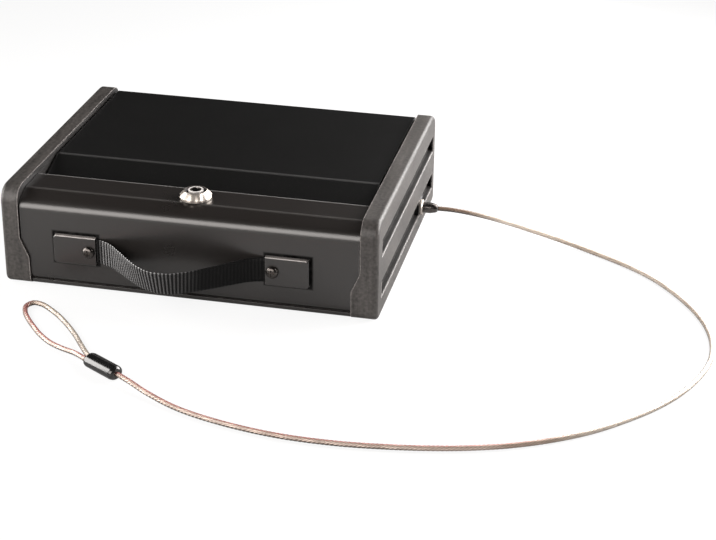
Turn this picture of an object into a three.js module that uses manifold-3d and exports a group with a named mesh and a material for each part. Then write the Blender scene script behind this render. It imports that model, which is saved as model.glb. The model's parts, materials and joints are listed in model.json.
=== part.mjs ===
// Portable car safe: folded steel case between two moulded end caps, a rear-hinged lid,
// a round-key cam lock, a webbing handle and a wire rope tether with a loop.
// Millimetres. +X right, -Y front, +Z up. The origin is the middle of the footprint.
import * as THREE from 'three';
import { mergeVertices } from 'three/addons/utils/BufferGeometryUtils.js';
import Module from 'manifold-3d';

const wasm = await Module();
wasm.setup();

// Overall size
const width = 241;
const depth = 195;
const height = 65;

// Clearances shared by the whole safe
const seat = 0.3; // between fixed pieces that touch
const running = 0.5; // between the lid and what it moves past
const overrun = 1; // how far a cut reaches past a face

// Sheet and case section, seen from the side
const sheet = 1.5;
const endSheet = 1.2;
const faceRecess = 1.5; // sheet faces lie this far inside the end caps
const footLift = 2.2; // underside of the case above the floor
const ledgeDrop = 4; // ledge below the top of the end caps
const lidDrop = 2.5; // lid below the top of the end caps
const ledgeDepth = 37; // front face to the rear edge of the ledge
const facetDepth = 12.9; // front face to the crease of the ledge
const facetDrop = 5.4; // crease down to the virtual front corner
const frontCornerRadius = 8;
const creaseRadius = 4;
const frontBendRadius = 6; // under the front face
const bottomBendRadius = 4.5; // under the back
const ledgeEdgeRadius = 3;
const lipBendRadius = 1.9;
const railInset = 0.8; // rails under the case, behind its front and back faces
const railLift = 0.7;
const railTop = 3.4;
const railDepth = 8;
const railRadius = 0.8;

const frontFace = -depth / 2 + faceRecess;
const backFace = depth / 2 - faceRecess;
const ledgeTop = height - ledgeDrop;
const lidTop = height - lidDrop;
const ledgeEdge = frontFace + ledgeDepth;

// Finger channel behind the ledge
const channelDrop = 14.4; // top of the ledge to the floor of the channel
const channelDepth = 16; // ledge edge to the rear wall of the channel
const channelSheet = 1.2;
const channelTongue = 3.8; // floor reaching under the ledge
const channelWall = ledgeEdge + channelDepth;
const channelFloor = ledgeTop - channelDrop;

// Lid
const slopeLength = 23; // along Y, from the bend of the lid to its lip
const slopeDrop = 6.95;
const lipSlot = 7; // open slot between the ledge and the lip of the lid
const lipTurn = 2;
const lidBendRadius = 3;
const lidRearRadius = 6.5;
const lidSkirt = 14; // rear skirt below the top of the lid
const backGap = 1.6; // between the skirt of the lid and the back wall
const lidSideGap = 2.3; // between the lid and the end caps
const lidFlangeDepth = 8;
const lidFlangeStart = 5; // behind the bend of the lid
const lidLip = ledgeEdge + lipSlot;
const lidBend = lidLip + slopeLength;
const lidSkirtEnd = lidTop - lidSkirt;
const backWallTop = lidSkirtEnd - backGap;

// End caps
const capThickness = 11.5;
const capFrontRadius = 10.5;
const capRearRadius = 9.5;
const capRadius = 5; // lower corners
const capEdge = 2.6; // rounding of the outer edge
const footWidth = 17;
const footTop = 31.5; // top of the shoulder of the foot
const shoulder = 13;
const shoulderBend = 4.3;
const grooveDepth = 3.4;
const grooveHeight = 10.5;
const grooveChamfer = 0.7;
const grooveInset = 11.5; // from the front of the cap
const grooveEnd = 8.5; // from the back of the cap
const lowerGroove = 12;
const upperGrooveDrop = 25.5; // top of the cap to the lower edge of the upper groove
const pocketReach = 4.5; // blind pocket behind the rear end of a groove
const pocketSkin = 1.3;
const capPocketDepth = 6;
const capRib = 8;
const capRim = 9.5;
const capPocketLow = 8;
const capPocketDrop = 15; // top of the cap to the pockets
const capPad = 0.3; // raised pads that meet the end plate

const capInner = width / 2 - capThickness;
const upperGroove = height - upperGrooveDrop;
const capPocketHigh = height - capPocketDrop;
const capPocketMiddle = (capPocketLow + capPocketHigh) / 2;
const plateOuter = capInner - 2 * seat;
const plateInner = plateOuter - endSheet;
const lidHalf = capInner - lidSideGap;
const shellHalf = plateOuter;

// Hinge pins of the lid
const hingeInset = 5.3; // from the back face
const hingeDrop = 8; // below the top of the lid
const pinRadius = 2;
const pinHeadRadius = 3.2;
const pinHead = 1.5;
const hingeWasher = 0.8;
const hingeWasherRadius = 3.3;
const hingeEar = 4.5; // round end of the side flange about the pin
const hingeY = backFace - hingeInset;
const hingeZ = lidTop - hingeDrop;
const stopTab = 4.5;
const stopTabReach = 3.7;
const stopTabAhead = 10.7; // of the hinge pin
const stopTabDrop = 1.8; // below the hinge pin
const stopRoom = 0.8; // round the tab, in the side flange of the lid
const stopTabY = hingeY - stopTabAhead;
const stopTabZ = hingeZ - stopTabDrop;

// Lock
const lockInset = 21; // front face to the lock's axis
const bezelRadius = 10.3;
const bezelHeight = 5.1;
const bezelScallops = 12;
const bezelScallop = 0.75;
const bezelFacets = 6; // round each scallop
const dishRadius = 6.5;
const dishDepth = 2.2;
const barrelRadius = 8;
const barrelLength = 15.3;
const plugRadius = 4.7;
const plugProud = 0.4;
const keyRingOuter = 3.5;
const keyRingInner = 2.2;
const keyRingDepth = 2.6;
const keyNotch = 1.3;
const lockNutAcross = 19;
const lockNutHeight = 4;
const lockNutGap = 1.1; // under the ledge, clear of the facet
const tailSide = 5.6;
const camThickness = 2;
const camWidth = 12;
const camReach = 40;
const camCorner = 1.2;
const camWasherRadius = 7.5;
const camWasher = 0.8;
const camScrewRadius = 4;
const camScrewHead = 2;
const camScrewShank = 1.5;
const camScrewLength = 5;
const lockY = frontFace + lockInset;
const barrelEnd = ledgeTop + seat - barrelLength;
const camWasherTop = barrelEnd - 2 * seat;
const camTop = camWasherTop - camWasher - seat;
const camBottom = camTop - camThickness;

// Strike hook under the lid
const strikeWidth = 18;
const strikeSheet = 1.5;
const strikeFlange = 16.5;
const strikeFoot = 9.5;
const strikeSetback = 0.5; // leg behind the bend of the lid
const strikeClear = 0.8; // under the cam

// Liners
const linerThickness = 5;
const lidLinerThickness = 4.2;
const linerMargin = 2;
const linerCorner = 6;
const lidLinerSide = 4;
const lidLinerFront = 20; // behind the bend of the lid
const lidLinerRear = 12; // before the hinge

// Handle on the front face
const handleShift = -4.1; // middle of the handle from the middle of the safe
const handleSpan = 108.6; // between the inner edges of the plates
const handleHeight = 27.8;
const handlePlateLength = 27.7;
const handlePlateWidth = 19;
const handlePlateSkin = 1.2;
const handlePlateCorner = 2.4;
const handlePlateEdge = 0.5;
const strapWidth = 16.2;
const strapThickness = 1.6;
const strapTuck = 12;
const strapBow = 26;
const strapSag = 4.3;
const strapTilt = 15; // degrees, top edge leaning outwards
const screwInset = 4.6; // from the inner edge of the plate
const screwHeadRadius = 4;
const screwHead = 2.6;
const screwShank = 1.8;
const screwRecess = 1.1;
const screwSlot = 0.9;
const screwSlotLength = 4.4;
const nutAcross = 7;
const nutHeight = 3;
const screwBeyondNut = 1;

// Screws that hold the end caps, from inside the case
const capScrewInset = 37.5; // from the front and the back of the cap
const capScrewLow = 20;
const capScrewDrop = 24; // top of the cap to the upper screws
const capScrewSpan = depth / 2 - capScrewInset;
const capScrewHigh = height - capScrewDrop;
const capScrewRadius = 3.5;
const capScrewHead = 2;
const capScrewShank = 1.6;
const capScrewLength = 8;

// Cable fitting in the lower groove of the right cap
const fittingBack = 51; // from the back of the cap
const fittingRise = 3.5; // above the lower edge of the groove
const fittingY = depth / 2 - fittingBack;
const fittingZ = lowerGroove + fittingRise;
const grommetLength = 14;
const collarRadius = 5.2;
const collarThickness = 1.7;
const collarChamfer = 0.5;
const sleeveLength = 9.4;
const sleeveRadius = 3.7;
const sleeveTipRadius = 2.9;
const sleeveRound = 1.1;
const studRadius = 2.9;
const studInside = 10; // beyond the inner face of the end plate
const studBoss = 8;
const cableNutAcross = 11;
const cableNutHeight = 4.4;
const cableWasherRadius = 7;
const cableWasher = 1.2;

// Wire rope: points chosen by hand, in millimetres. It all moves with the cable fitting
const cableRadius = 1.6;
const ferruleLength = 26;
const ferruleWidth = 10.4;
const ferruleHeight = 8.6;
const ferruleRound = 2.6;
const cableRoute = [
  [132.2, 46.5, 15.5], [140.5, 47.3, 15.2], [150.1, 48.6, 14.0], [165.3, 49.7, 11.4],
  [179.7, 49.2, 8.8], [194.4, 47.4, 6.2], [209.7, 44.0, 4.0], [223.7, 39.2, 2.5],
  [238.4, 31.9, 1.75], [263.4, 15.8, 1.65], [280.6, 1.0, 1.65], [296.4, -18.6, 1.65],
  [309.4, -40.0, 1.65], [318.0, -62.0, 1.65], [321.8, -84.2, 1.65], [321.0, -104.4, 1.65],
  [315.9, -124.0, 1.65], [307.2, -144.4, 1.65], [295.4, -163.4, 1.65], [279.6, -182.1, 1.65],
  [261.6, -199.4, 1.65], [240.9, -213.8, 1.65], [218.9, -225.0, 1.65], [196.6, -232.8, 1.65],
  [175.1, -238.0, 1.65], [155.0, -241.4, 1.65], [128.0, -244.2, 1.65], [94.2, -243.6, 1.65],
  [60.0, -237.4, 1.65], [32.6, -228.0, 1.7], [10.6, -216.1, 2.6], [0.2, -209.7, 3.8],
  [-9.6, -203.7, 4.4],
];
const loopRoute = [
  [-31.2, -188.1, 4.4], [-33.7, -186.0, 4.4], [-37.2, -181.2, 4.0], [-43.4, -171.6, 2.9],
  [-51.4, -159.4, 1.9],
  [-60.2, -148.2, 1.65], [-69.4, -138.2, 1.65], [-78.4, -130.2, 1.65], [-85.4, -125.4, 1.65],
  [-91.2, -124.6, 1.65], [-94.0, -129.4, 1.65], [-91.6, -137.6, 1.65], [-86.6, -145.6, 1.65],
  [-79.8, -154.4, 1.65], [-72.0, -163.4, 1.65], [-62.6, -171.6, 1.65], [-52.8, -177.4, 2.0],
  [-43.6, -182.8, 3.2], [-37.8, -187.4, 4.1], [-33.2, -191.2, 4.4],
];
const ferruleStart = [-32.6, -189.4, 4.4];
const ferruleEnd = [-9.2, -203.9, 4.4];

// Steps round curves
const bendStep = Math.PI / 12;
const holeSides = 24;
const smallSides = 16;
const cableSides = 8;
const cableSteps = 60;
const loopSteps = 18;
const strapSteps = 30;
const capEdgeSteps = 4;
const ferruleSteps = 3;
const hexagonSides = 6;

// Finishes
const finish = (color, roughness, metalness) =>
  () => new THREE.MeshStandardMaterial({ color, roughness, metalness });
const steelPaint = finish(0x222222, 0.45, 0.2);
const facePaint = finish(0x3a3835, 0.5, 0.2);
const capPlastic = finish(0x4a4745, 0.7, 0);
const chrome = finish(0xc8c8c6, 0.15, 1);
const zinc = finish(0x9a9a98, 0.35, 1);
const darkSteel = finish(0x35332f, 0.35, 0.9);
const blackPlastic = finish(0x0c0c0c, 0.3, 0);
const foam = finish(0x1c1c1e, 0.95, 0);
const webbing = finish(0x1a1a1a, 0.9, 0);
const rope = finish(0x8b857e, 0.35, 0.6);

// Solids
function solid(geometry) {
  const plain = geometry.clone();
  plain.deleteAttribute('normal');
  plain.deleteAttribute('uv');
  const merged = mergeVertices(plain);
  return new wasm.Manifold(new wasm.Mesh({
    numProp: 3,
    vertProperties: Float32Array.from(merged.attributes.position.array),
    triVerts: Uint32Array.from(merged.index.array),
  }));
}

function geometryOf(body) {
  const mesh = body.getMesh();
  const geometry = new THREE.BufferGeometry();
  geometry.setAttribute('position', new THREE.BufferAttribute(mesh.vertProperties, 3));
  geometry.setIndex(new THREE.BufferAttribute(mesh.triVerts, 1));
  geometry.computeVertexNormals();
  return geometry;
}

const axisX = new THREE.Vector3(1, 0, 0);
const axisY = new THREE.Vector3(0, 1, 0);
const axisZ = new THREE.Vector3(0, 0, 1);

// An outline in (y, z) made solid between two places along X
function alongX(outline, from, to) {
  const geometry = new THREE.ExtrudeGeometry(new THREE.Shape(outline), {
    depth: to - from, bevelEnabled: false,
  });
  geometry.applyMatrix4(new THREE.Matrix4().makeBasis(axisY, axisZ, axisX));
  geometry.translate(from, 0, 0);
  return solid(geometry);
}

// An outline in (x, z) made solid between two places along Y
function alongY(outline, from, to) {
  const geometry = new THREE.ExtrudeGeometry(new THREE.Shape(outline), {
    depth: to - from, bevelEnabled: false,
  });
  geometry.applyMatrix4(new THREE.Matrix4().makeBasis(axisX, axisZ, axisY.clone().negate()));
  geometry.translate(0, to, 0);
  return solid(geometry);
}

// An outline in (x, y) made solid between two heights
function alongZ(outline, from, to) {
  const geometry = new THREE.ExtrudeGeometry(new THREE.Shape(outline), {
    depth: to - from, bevelEnabled: false,
  });
  geometry.translate(0, 0, from);
  return solid(geometry);
}

function block(x0, x1, y0, y1, z0, z1) {
  const geometry = new THREE.BoxGeometry(x1 - x0, y1 - y0, z1 - z0);
  geometry.translate((x0 + x1) / 2, (y0 + y1) / 2, (z0 + z1) / 2);
  return solid(geometry);
}

// A turned piece: profile of [radius, place along the axis], about +Z
function turned(profile, sides = holeSides) {
  const geometry = new THREE.LatheGeometry(profile.map(([r, h]) => new THREE.Vector2(r, h)), sides);
  geometry.rotateX(Math.PI / 2);
  return solid(geometry);
}

function rodZ(radius, x, y, z0, z1, sides = holeSides) {
  return turned([[0, z0], [radius, z0], [radius, z1], [0, z1]], sides).translate([x, y, 0]);
}

function rodX(radius, x0, x1, y, z, sides = smallSides) {
  return turned([[0, x0], [radius, x0], [radius, x1], [0, x1]], sides)
    .rotate([0, 90, 0]).translate([0, y, z]);
}

function rodY(radius, x, y0, y1, z, sides = smallSides) {
  return turned([[0, -y1], [radius, -y1], [radius, -y0], [0, -y0]], sides)
    .rotate([90, 0, 0]).translate([x, 0, z]);
}

// Corners [u, v, radius] of a closed outline, rounded where they have a radius
function rounded(corners) {
  const points = [];
  corners.forEach(([u, v, radius = 0], index) => {
    const here = new THREE.Vector2(u, v);
    if (radius === 0) {
      points.push(here);
      return;
    }
    const before = corners[(index + corners.length - 1) % corners.length];
    const after = corners[(index + 1) % corners.length];
    points.push(...fillet(
      new THREE.Vector2(before[0], before[1]), here, new THREE.Vector2(after[0], after[1]), radius,
    ).map((arc) => arc.point));
  });
  return points;
}

function fillet(before, here, after, radius) {
  const into = here.clone().sub(before).normalize();
  const out = after.clone().sub(here).normalize();
  const turn = Math.atan2(into.cross(out), into.dot(out));
  const start = here.clone().addScaledVector(into, -radius * Math.tan(Math.abs(turn) / 2));
  const side = new THREE.Vector2(-into.y, into.x).multiplyScalar(Math.sign(turn) * radius);
  const centre = start.clone().add(side);
  const steps = Math.max(2, Math.round(Math.abs(turn) / bendStep));
  return Array.from({ length: steps + 1 }, (_, k) => ({
    point: start.clone().rotateAround(centre, (turn * k) / steps),
    centre,
    radius,
    turn,
  }));
}

// A folded sheet, seen along its bends: the corners of one face, with the metal on their left
function folded(corners, thickness) {
  const face = corners.map(([u, v]) => new THREE.Vector2(u, v));
  const outer = [];
  const inner = [];
  const leftOf = (a, b) => new THREE.Vector2(a.y - b.y, b.x - a.x).normalize();
  face.forEach((here, index) => {
    if (index === 0 || index === face.length - 1) {
      const [a, b] = index === 0 ? [here, face[1]] : [face[index - 1], here];
      outer.push(here);
      inner.push(here.clone().addScaledVector(leftOf(a, b), thickness));
      return;
    }
    fillet(face[index - 1], here, face[index + 1], corners[index][2]).forEach((arc) => {
      const reach = (arc.radius - Math.sign(arc.turn) * thickness) / arc.radius;
      outer.push(arc.point);
      inner.push(arc.centre.clone().add(arc.point.clone().sub(arc.centre).multiplyScalar(reach)));
    });
  });
  return [...outer, ...inner.reverse()];
}

// A skin over sections of equal counts, closed at both ends from the middle of each end section
function loft(sections) {
  const count = sections[0].length;
  const points = sections.flat();
  const middle = (section) => section
    .reduce((sum, point) => sum.add(point), new THREE.Vector3()).divideScalar(count);
  const startMiddle = points.length;
  points.push(middle(sections[0]), middle(sections[sections.length - 1]));
  const faces = [];
  const last = (sections.length - 1) * count;
  for (let i = 0; i < count; i += 1) {
    const j = (i + 1) % count;
    for (let row = 0; row < last; row += count) {
      faces.push(row + i, row + j, row + count + j, row + i, row + count + j, row + count + i);
    }
    faces.push(startMiddle, j, i, startMiddle + 1, last + i, last + j);
  }
  const geometry = new THREE.BufferGeometry();
  geometry.setAttribute('position', new THREE.Float32BufferAttribute(
    points.flatMap((point) => point.toArray()), 3,
  ));
  geometry.setIndex(faces);
  return solid(geometry);
}

function hexagon(across) {
  const corner = across / Math.sqrt(3);
  return Array.from({ length: hexagonSides }, (_, k) => {
    const angle = (2 * Math.PI * k) / hexagonSides;
    return new THREE.Vector2(corner * Math.cos(angle), corner * Math.sin(angle));
  });
}

// Where the sloping front of the lid lies at a given Y
const slopeRate = slopeDrop / slopeLength;
const slopeTop = (y) => lidTop - slopeRate * (lidBend - y);
const slopeSheet = sheet * Math.hypot(1, slopeRate);

// Hemmed edge of the bottom that the case rests low on, between the feet
function baseRail(front, back) {
  const reach = width / 2 - footWidth - seat;
  return alongX(rounded([
    [front, railLift, railRadius], [back, railLift, railRadius], [back, railTop], [front, railTop],
  ]), -reach, reach);
}

// Folded case: ledge, front, bottom and back in one sheet
function bodyShell() {
  const outline = folded([
    [ledgeEdge, channelFloor + seat],
    [ledgeEdge, ledgeTop, ledgeEdgeRadius],
    [frontFace + facetDepth, ledgeTop, creaseRadius],
    [frontFace, ledgeTop - facetDrop, frontCornerRadius],
    [frontFace, footLift, frontBendRadius],
    [backFace, footLift, bottomBendRadius],
    [backFace, backWallTop],
  ], sheet);
  let shell = alongX(outline, -shellHalf, shellHalf)
    .add(baseRail(frontFace + railInset, frontFace + railInset + railDepth))
    .add(baseRail(backFace - railInset - railDepth, backFace - railInset));
  shell = shell.subtract(rodZ(
    barrelRadius + seat, 0, lockY, ledgeTop - sheet - overrun, ledgeTop + overrun,
  ));
  const lipNotch = plateInner - seat;
  const lipLow = channelFloor - overrun;
  const lipHigh = ledgeTop - sheet - seat;
  const lipFront = ledgeEdge - sheet - seat;
  [-1, 1].forEach((side) => {
    const [x0, x1] = side < 0 ? [-shellHalf - overrun, -lipNotch] : [lipNotch, shellHalf + overrun];
    shell = shell.subtract(block(x0, x1, lipFront, ledgeEdge + overrun, lipLow, lipHigh));
    shell = shell.subtract(rodY(
      screwShank + seat, handleScrewX(side), frontFace - overrun, frontFace + sheet + overrun,
      handleHeight,
    ));
  });
  return shell;
}

// Steel end wall inside the case; its top edge stays under the lid
function endPlate() {
  const inside = sheet + seat;
  const top = lidTop - sheet - seat;
  const slopeGap = slopeSheet + seat;
  const cornerRadius = lidRearRadius - inside;
  const throat = ledgeEdge + running;
  const outline = rounded([
    [frontFace + inside, footLift + inside, frontBendRadius - sheet],
    [backFace - inside, footLift + inside, bottomBendRadius - sheet],
    [backFace - inside, top, cornerRadius],
    [lidBend, top, lidBendRadius],
    [lidLip, slopeTop(lidLip) - slopeGap],
    [throat, slopeTop(lidLip) - slopeGap],
    [throat, channelFloor - channelSheet - 2 * seat],
    [ledgeEdge - inside, channelFloor - channelSheet - 2 * seat],
    [ledgeEdge - inside, ledgeTop - inside, ledgeEdgeRadius - sheet],
    [frontFace + facetDepth, ledgeTop - inside],
    [frontFace + inside, ledgeTop - facetDrop - inside, frontCornerRadius - sheet],
  ]);
  let plate = alongX(outline, plateInner, plateOuter);
  plate = plate.add(block(
    plateInner - stopTabReach, plateInner + endSheet / 2,
    stopTabY, stopTabY + stopTab, stopTabZ, stopTabZ + sheet,
  ));
  plate = plate.subtract(rodX(
    pinRadius + seat, plateInner - overrun, plateOuter + overrun, hingeY, hingeZ,
  ));
  capScrewPlaces().forEach(([y, z]) => {
    plate = plate.subtract(rodX(
      capScrewShank + seat, plateInner - overrun, plateOuter + overrun, y, z,
    ));
  });
  return plate;
}

function rightEndPlate() {
  return endPlate().subtract(rodX(
    studRadius + seat, plateInner - overrun, plateOuter + overrun, fittingY, fittingZ,
  ));
}

// Folded channel behind the ledge; the lip of the lid hangs over it
function fingerChannel() {
  const wallTop = slopeTop(channelWall) - slopeSheet - running;
  const outline = folded([
    [channelWall, wallTop],
    [channelWall, channelFloor, channelSheet],
    [ledgeEdge - channelTongue, channelFloor],
  ], channelSheet);
  return alongX(outline, -plateInner + seat, plateInner - seat);
}

// Lid: top, sloping front with its lip, rounded back with its skirt, side flanges to the pins
function lidPanel() {
  const outline = folded([
    [backFace, lidSkirtEnd],
    [backFace, lidTop, lidRearRadius],
    [lidBend, lidTop, lidBendRadius],
    [lidLip, slopeTop(lidLip), lipBendRadius],
    [lidLip, slopeTop(lidLip) - lipTurn - sheet],
  ], sheet);
  let lid = alongX(outline, -lidHalf, lidHalf);
  const flangeLow = lidTop - sheet - lidFlangeDepth;
  const flange = rounded([
    [lidBend + lidFlangeStart, flangeLow, lidBendRadius],
    [backFace - sheet / 2, flangeLow],
    [backFace - sheet / 2, lidTop - sheet / 2, lidRearRadius - sheet / 2],
    [lidBend + lidFlangeStart, lidTop - sheet / 2],
  ]);
  [-1, 1].forEach((side) => {
    const [x0, x1] = side < 0 ? [-lidHalf, -lidHalf + sheet] : [lidHalf - sheet, lidHalf];
    lid = lid.add(alongX(flange, x0, x1)).add(rodX(hingeEar, x0, x1, hingeY, hingeZ));
    lid = lid.subtract(rodX(pinRadius + seat, x0 - overrun, x1 + overrun, hingeY, hingeZ));
    lid = lid.subtract(block(
      x0 - overrun, x1 + overrun, stopTabY - 2 * stopRoom, stopTabY + stopTab + stopRoom,
      flangeLow - overrun, stopTabZ + sheet + stopRoom,
    ));
  });
  return lid;
}

// Hook under the lid, behind the finger channel, that the turned cam holds down
function strikeHook() {
  const leg = lidBend + strikeSetback;
  const footLevel = camBottom - strikeClear;
  const under = lidTop - sheet - seat;
  const outline = folded([
    [leg + strikeFlange, under],
    [leg, under, strikeSheet + strikeSetback],
    [leg, footLevel, strikeSheet],
    [leg - strikeFoot, footLevel],
  ], strikeSheet);
  return alongX(outline, -strikeWidth / 2, strikeWidth / 2);
}

function baseLiner() {
  const x = plateInner - linerMargin - capScrewHead;
  const front = frontFace + frontBendRadius;
  const back = backFace - sheet - linerMargin;
  const low = footLift + sheet + seat;
  return alongZ(rounded([
    [-x, front, linerCorner], [x, front, linerCorner],
    [x, back, linerCorner], [-x, back, linerCorner],
  ]), low, low + linerThickness);
}

function lidLiner() {
  const x = lidHalf - sheet - lidLinerSide;
  const front = lidBend + lidLinerFront;
  const back = hingeY - lidLinerRear;
  const high = lidTop - sheet - seat;
  return alongZ(rounded([
    [-x, front, linerCorner], [x, front, linerCorner],
    [x, back, linerCorner], [-x, back, linerCorner],
  ]), high - lidLinerThickness, high);
}

// End cap, drawn for the right side; the left one is its mirror image
function capOutline(inset) {
  const front = -depth / 2 + inset;
  const back = depth / 2 - inset;
  return rounded([
    [front, inset, capRadius - inset],
    [back, inset, capRadius - inset],
    [back, height - inset, capRearRadius - inset],
    [front, height - inset, capFrontRadius - inset],
  ]);
}

function capScrewPlaces() {
  return [-capScrewSpan, capScrewSpan].flatMap((y) => [[y, capScrewLow], [y, capScrewHigh]]);
}

function endCap() {
  const sections = [capInner];
  const insets = [0];
  for (let k = 0; k <= capEdgeSteps; k += 1) {
    const angle = (k * Math.PI) / (2 * capEdgeSteps);
    sections.push(width / 2 - capEdge + capEdge * Math.sin(angle));
    insets.push(capEdge * (1 - Math.cos(angle)));
  }
  let cap = loft(sections.map((x, k) => capOutline(insets[k])
    .map((point) => new THREE.Vector3(x, point.x, point.y))));
  cap = cap.add(capFoot());
  cap = cap.subtract(groove(lowerGroove)).subtract(groove(upperGroove));
  capPockets().forEach((pocket) => {
    cap = cap.subtract(pocket);
  });
  capScrewPlaces().forEach(([y, z]) => {
    cap = cap.add(rodX(capRib / 2, capInner - capPad, capInner + overrun, y, z));
    cap = cap.subtract(rodX(
      capScrewShank + seat, capInner - overrun, capInner + capScrewLength, y, z,
    ));
  });
  return cap.subtract(rodX(
    pinHeadRadius, capInner - overrun, capInner + pinHead, hingeY, hingeZ,
  ));
}

// The wider foot, with its shoulder, wraps the front, bottom and back of the case
function capFoot() {
  const inner = width / 2 - footWidth;
  const boot = rounded([
    [capInner + overrun, 0], [capInner + overrun, height], [capInner, height],
    [capInner, footTop, shoulderBend], [inner, footTop - shoulder, shoulderBend], [inner, 0],
  ]);
  const wrap = alongX(capOutline(0), inner, capInner + overrun)
    .intersect(alongY(boot, -depth / 2, depth / 2));
  const caseOutline = rounded([
    [frontFace - seat, footLift - seat, frontBendRadius + seat],
    [backFace + seat, footLift - seat, bottomBendRadius + seat],
    [backFace + seat, height], [frontFace - seat, height],
  ]);
  return wrap.subtract(alongX(caseOutline, inner - overrun, capInner));
}

function groove(low) {
  const floor = width / 2 - grooveDepth;
  const high = low + grooveHeight;
  const mouth = width / 2 - grooveChamfer;
  const reach = grooveChamfer + overrun;
  const front = -depth / 2 + grooveInset;
  const back = depth / 2 - grooveEnd;
  const cut = alongY([
    [floor, low], [mouth, low], [width / 2 + overrun, low - reach],
    [width / 2 + overrun, high + reach], [mouth, high], [floor, high],
  ].map(([x, z]) => new THREE.Vector2(x, z)), front, back);
  return cut.add(block(
    floor - pocketReach / 2, width / 2 - pocketSkin, back - overrun, back + pocketReach,
    low + pocketSkin / 2, high - pocketSkin / 2,
  ));
}

// Moulding pockets on the hidden side, between ribs that carry the screws
function capPockets() {
  const ribs = [-capScrewSpan, 0, capScrewSpan];
  const stops = [-depth / 2 + capRim, ...ribs.flatMap((y) => [y - capRib / 2, y + capRib / 2]),
    depth / 2 - capRim];
  const pockets = [];
  for (let k = 0; k < stops.length; k += 2) {
    [[capPocketLow, capPocketMiddle - capRib / 2], [capPocketMiddle + capRib / 2, capPocketHigh]]
      .forEach(([low, high]) => {
        pockets.push(block(
          capInner - overrun, capInner + capPocketDepth, stops[k], stops[k + 1], low, high,
        ));
      });
  }
  return pockets;
}

function rightEndCap() {
  const floor = width / 2 - grooveDepth;
  const boss = rodX(studBoss, capInner, floor, fittingY, fittingZ);
  const room = block(
    capInner - overrun, floor, fittingY - studBoss, fittingY + studBoss,
    capPocketLow, capPocketMiddle - capRib / 2,
  );
  return endCap().add(boss.intersect(room)).subtract(rodX(
    studRadius + seat, capInner - overrun, width / 2, fittingY, fittingZ,
  ));
}

// Hinge pin, drawn at the right side: head inside the case, shank through lid and end plate
function hingePin() {
  const headFace = lidHalf - sheet - hingeWasher - 2 * seat;
  const tail = capInner + pinHead - seat;
  return rodX(pinHeadRadius, headFace - pinHead, headFace, 0, 0)
    .add(rodX(pinRadius, headFace - pinHead / 2, tail, 0, 0));
}

function hingeWasherRing() {
  const outer = lidHalf - sheet - seat;
  return rodX(hingeWasherRadius, outer - hingeWasher, outer, 0, 0)
    .subtract(rodX(pinRadius + seat, outer - hingeWasher - overrun, outer + overrun, 0, 0));
}

// Scalloped bezel and threaded barrel of the lock, bored for the plug.
// Each row is a share of the bezel's height, of its radius and of the depth of its scallops
const bezelShares = [
  [0, 0.96, 0.3], [0.12, 0.98, 0.6], [0.31, 1, 1], [0.5, 0.93, 0.9], [0.8, 0.79, 0.4],
  [0.94, 0.71, 0.1], [1, 0.67, 0],
];
function lockHousing() {
  const facets = bezelScallops * bezelFacets;
  const bezel = loft(bezelShares.map(([rise, reach, scallop]) => (
    Array.from({ length: facets }, (_, k) => {
      const angle = (2 * Math.PI * k) / facets;
      const bite = bezelScallop * scallop * Math.sin((angle * bezelScallops) / 2) ** 2;
      const r = bezelRadius * reach - bite;
      return new THREE.Vector3(r * Math.cos(angle), r * Math.sin(angle), bezelHeight * rise);
    }))));
  const dish = turned([
    [0, bezelHeight - dishDepth], [plugRadius + seat, bezelHeight - dishDepth],
    [dishRadius, bezelHeight], [dishRadius, bezelHeight + overrun], [0, bezelHeight + overrun],
  ]);
  const low = -barrelLength;
  return bezel
    .add(rodZ(barrelRadius, 0, 0, low, seat))
    .subtract(dish)
    .subtract(rodZ(plugRadius + seat, 0, 0, low - overrun, bezelHeight + overrun))
    .translate([0, lockY, ledgeTop + seat]);
}

function lockPlug() {
  const top = ledgeTop + seat + bezelHeight + plugProud;
  const plug = rodZ(plugRadius, 0, 0, camWasherTop + seat, top)
    .add(block(
      -tailSide / 2, tailSide / 2, -tailSide / 2, tailSide / 2,
      camBottom + seat, camWasherTop + overrun,
    ))
    .subtract(turned([
      [keyRingInner, top - keyRingDepth], [keyRingOuter, top - keyRingDepth],
      [keyRingOuter, top + overrun], [keyRingInner, top + overrun],
      [keyRingInner, top - keyRingDepth],
    ]))
    .subtract(block(
      -keyNotch / 2, keyNotch / 2, keyRingInner, plugRadius - seat,
      top - keyRingDepth, top + overrun,
    ))
    .subtract(rodZ(
      camScrewShank + seat, 0, 0, camBottom - overrun, camBottom + camScrewLength, smallSides,
    ));
  return plug.translate([0, lockY, 0]);
}

function lockNut() {
  const top = ledgeTop - sheet - lockNutGap;
  return alongZ(hexagon(lockNutAcross), top - lockNutHeight, top)
    .subtract(rodZ(barrelRadius + seat, 0, 0, top - lockNutHeight - overrun, top + overrun))
    .translate([0, lockY, 0]);
}

function squareHole(low, high) {
  const half = tailSide / 2 + seat;
  return block(-half, half, -half, half, low - overrun, high + overrun);
}

function camWasherDisc() {
  const low = camWasherTop - camWasher;
  return rodZ(camWasherRadius, 0, 0, low, camWasherTop)
    .subtract(squareHole(low, camWasherTop))
    .translate([0, lockY, 0]);
}

// The cam points to +X when the lock is open and to +Y when it is locked
function lockCam() {
  const half = camWidth / 2;
  return alongZ(rounded([
    [-half, -half, half - seat], [camReach, -half, camCorner],
    [camReach, half, camCorner], [-half, half, half - seat],
  ]), camBottom, camTop)
    .subtract(squareHole(camBottom, camTop))
    .translate([0, lockY, 0]);
}

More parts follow.
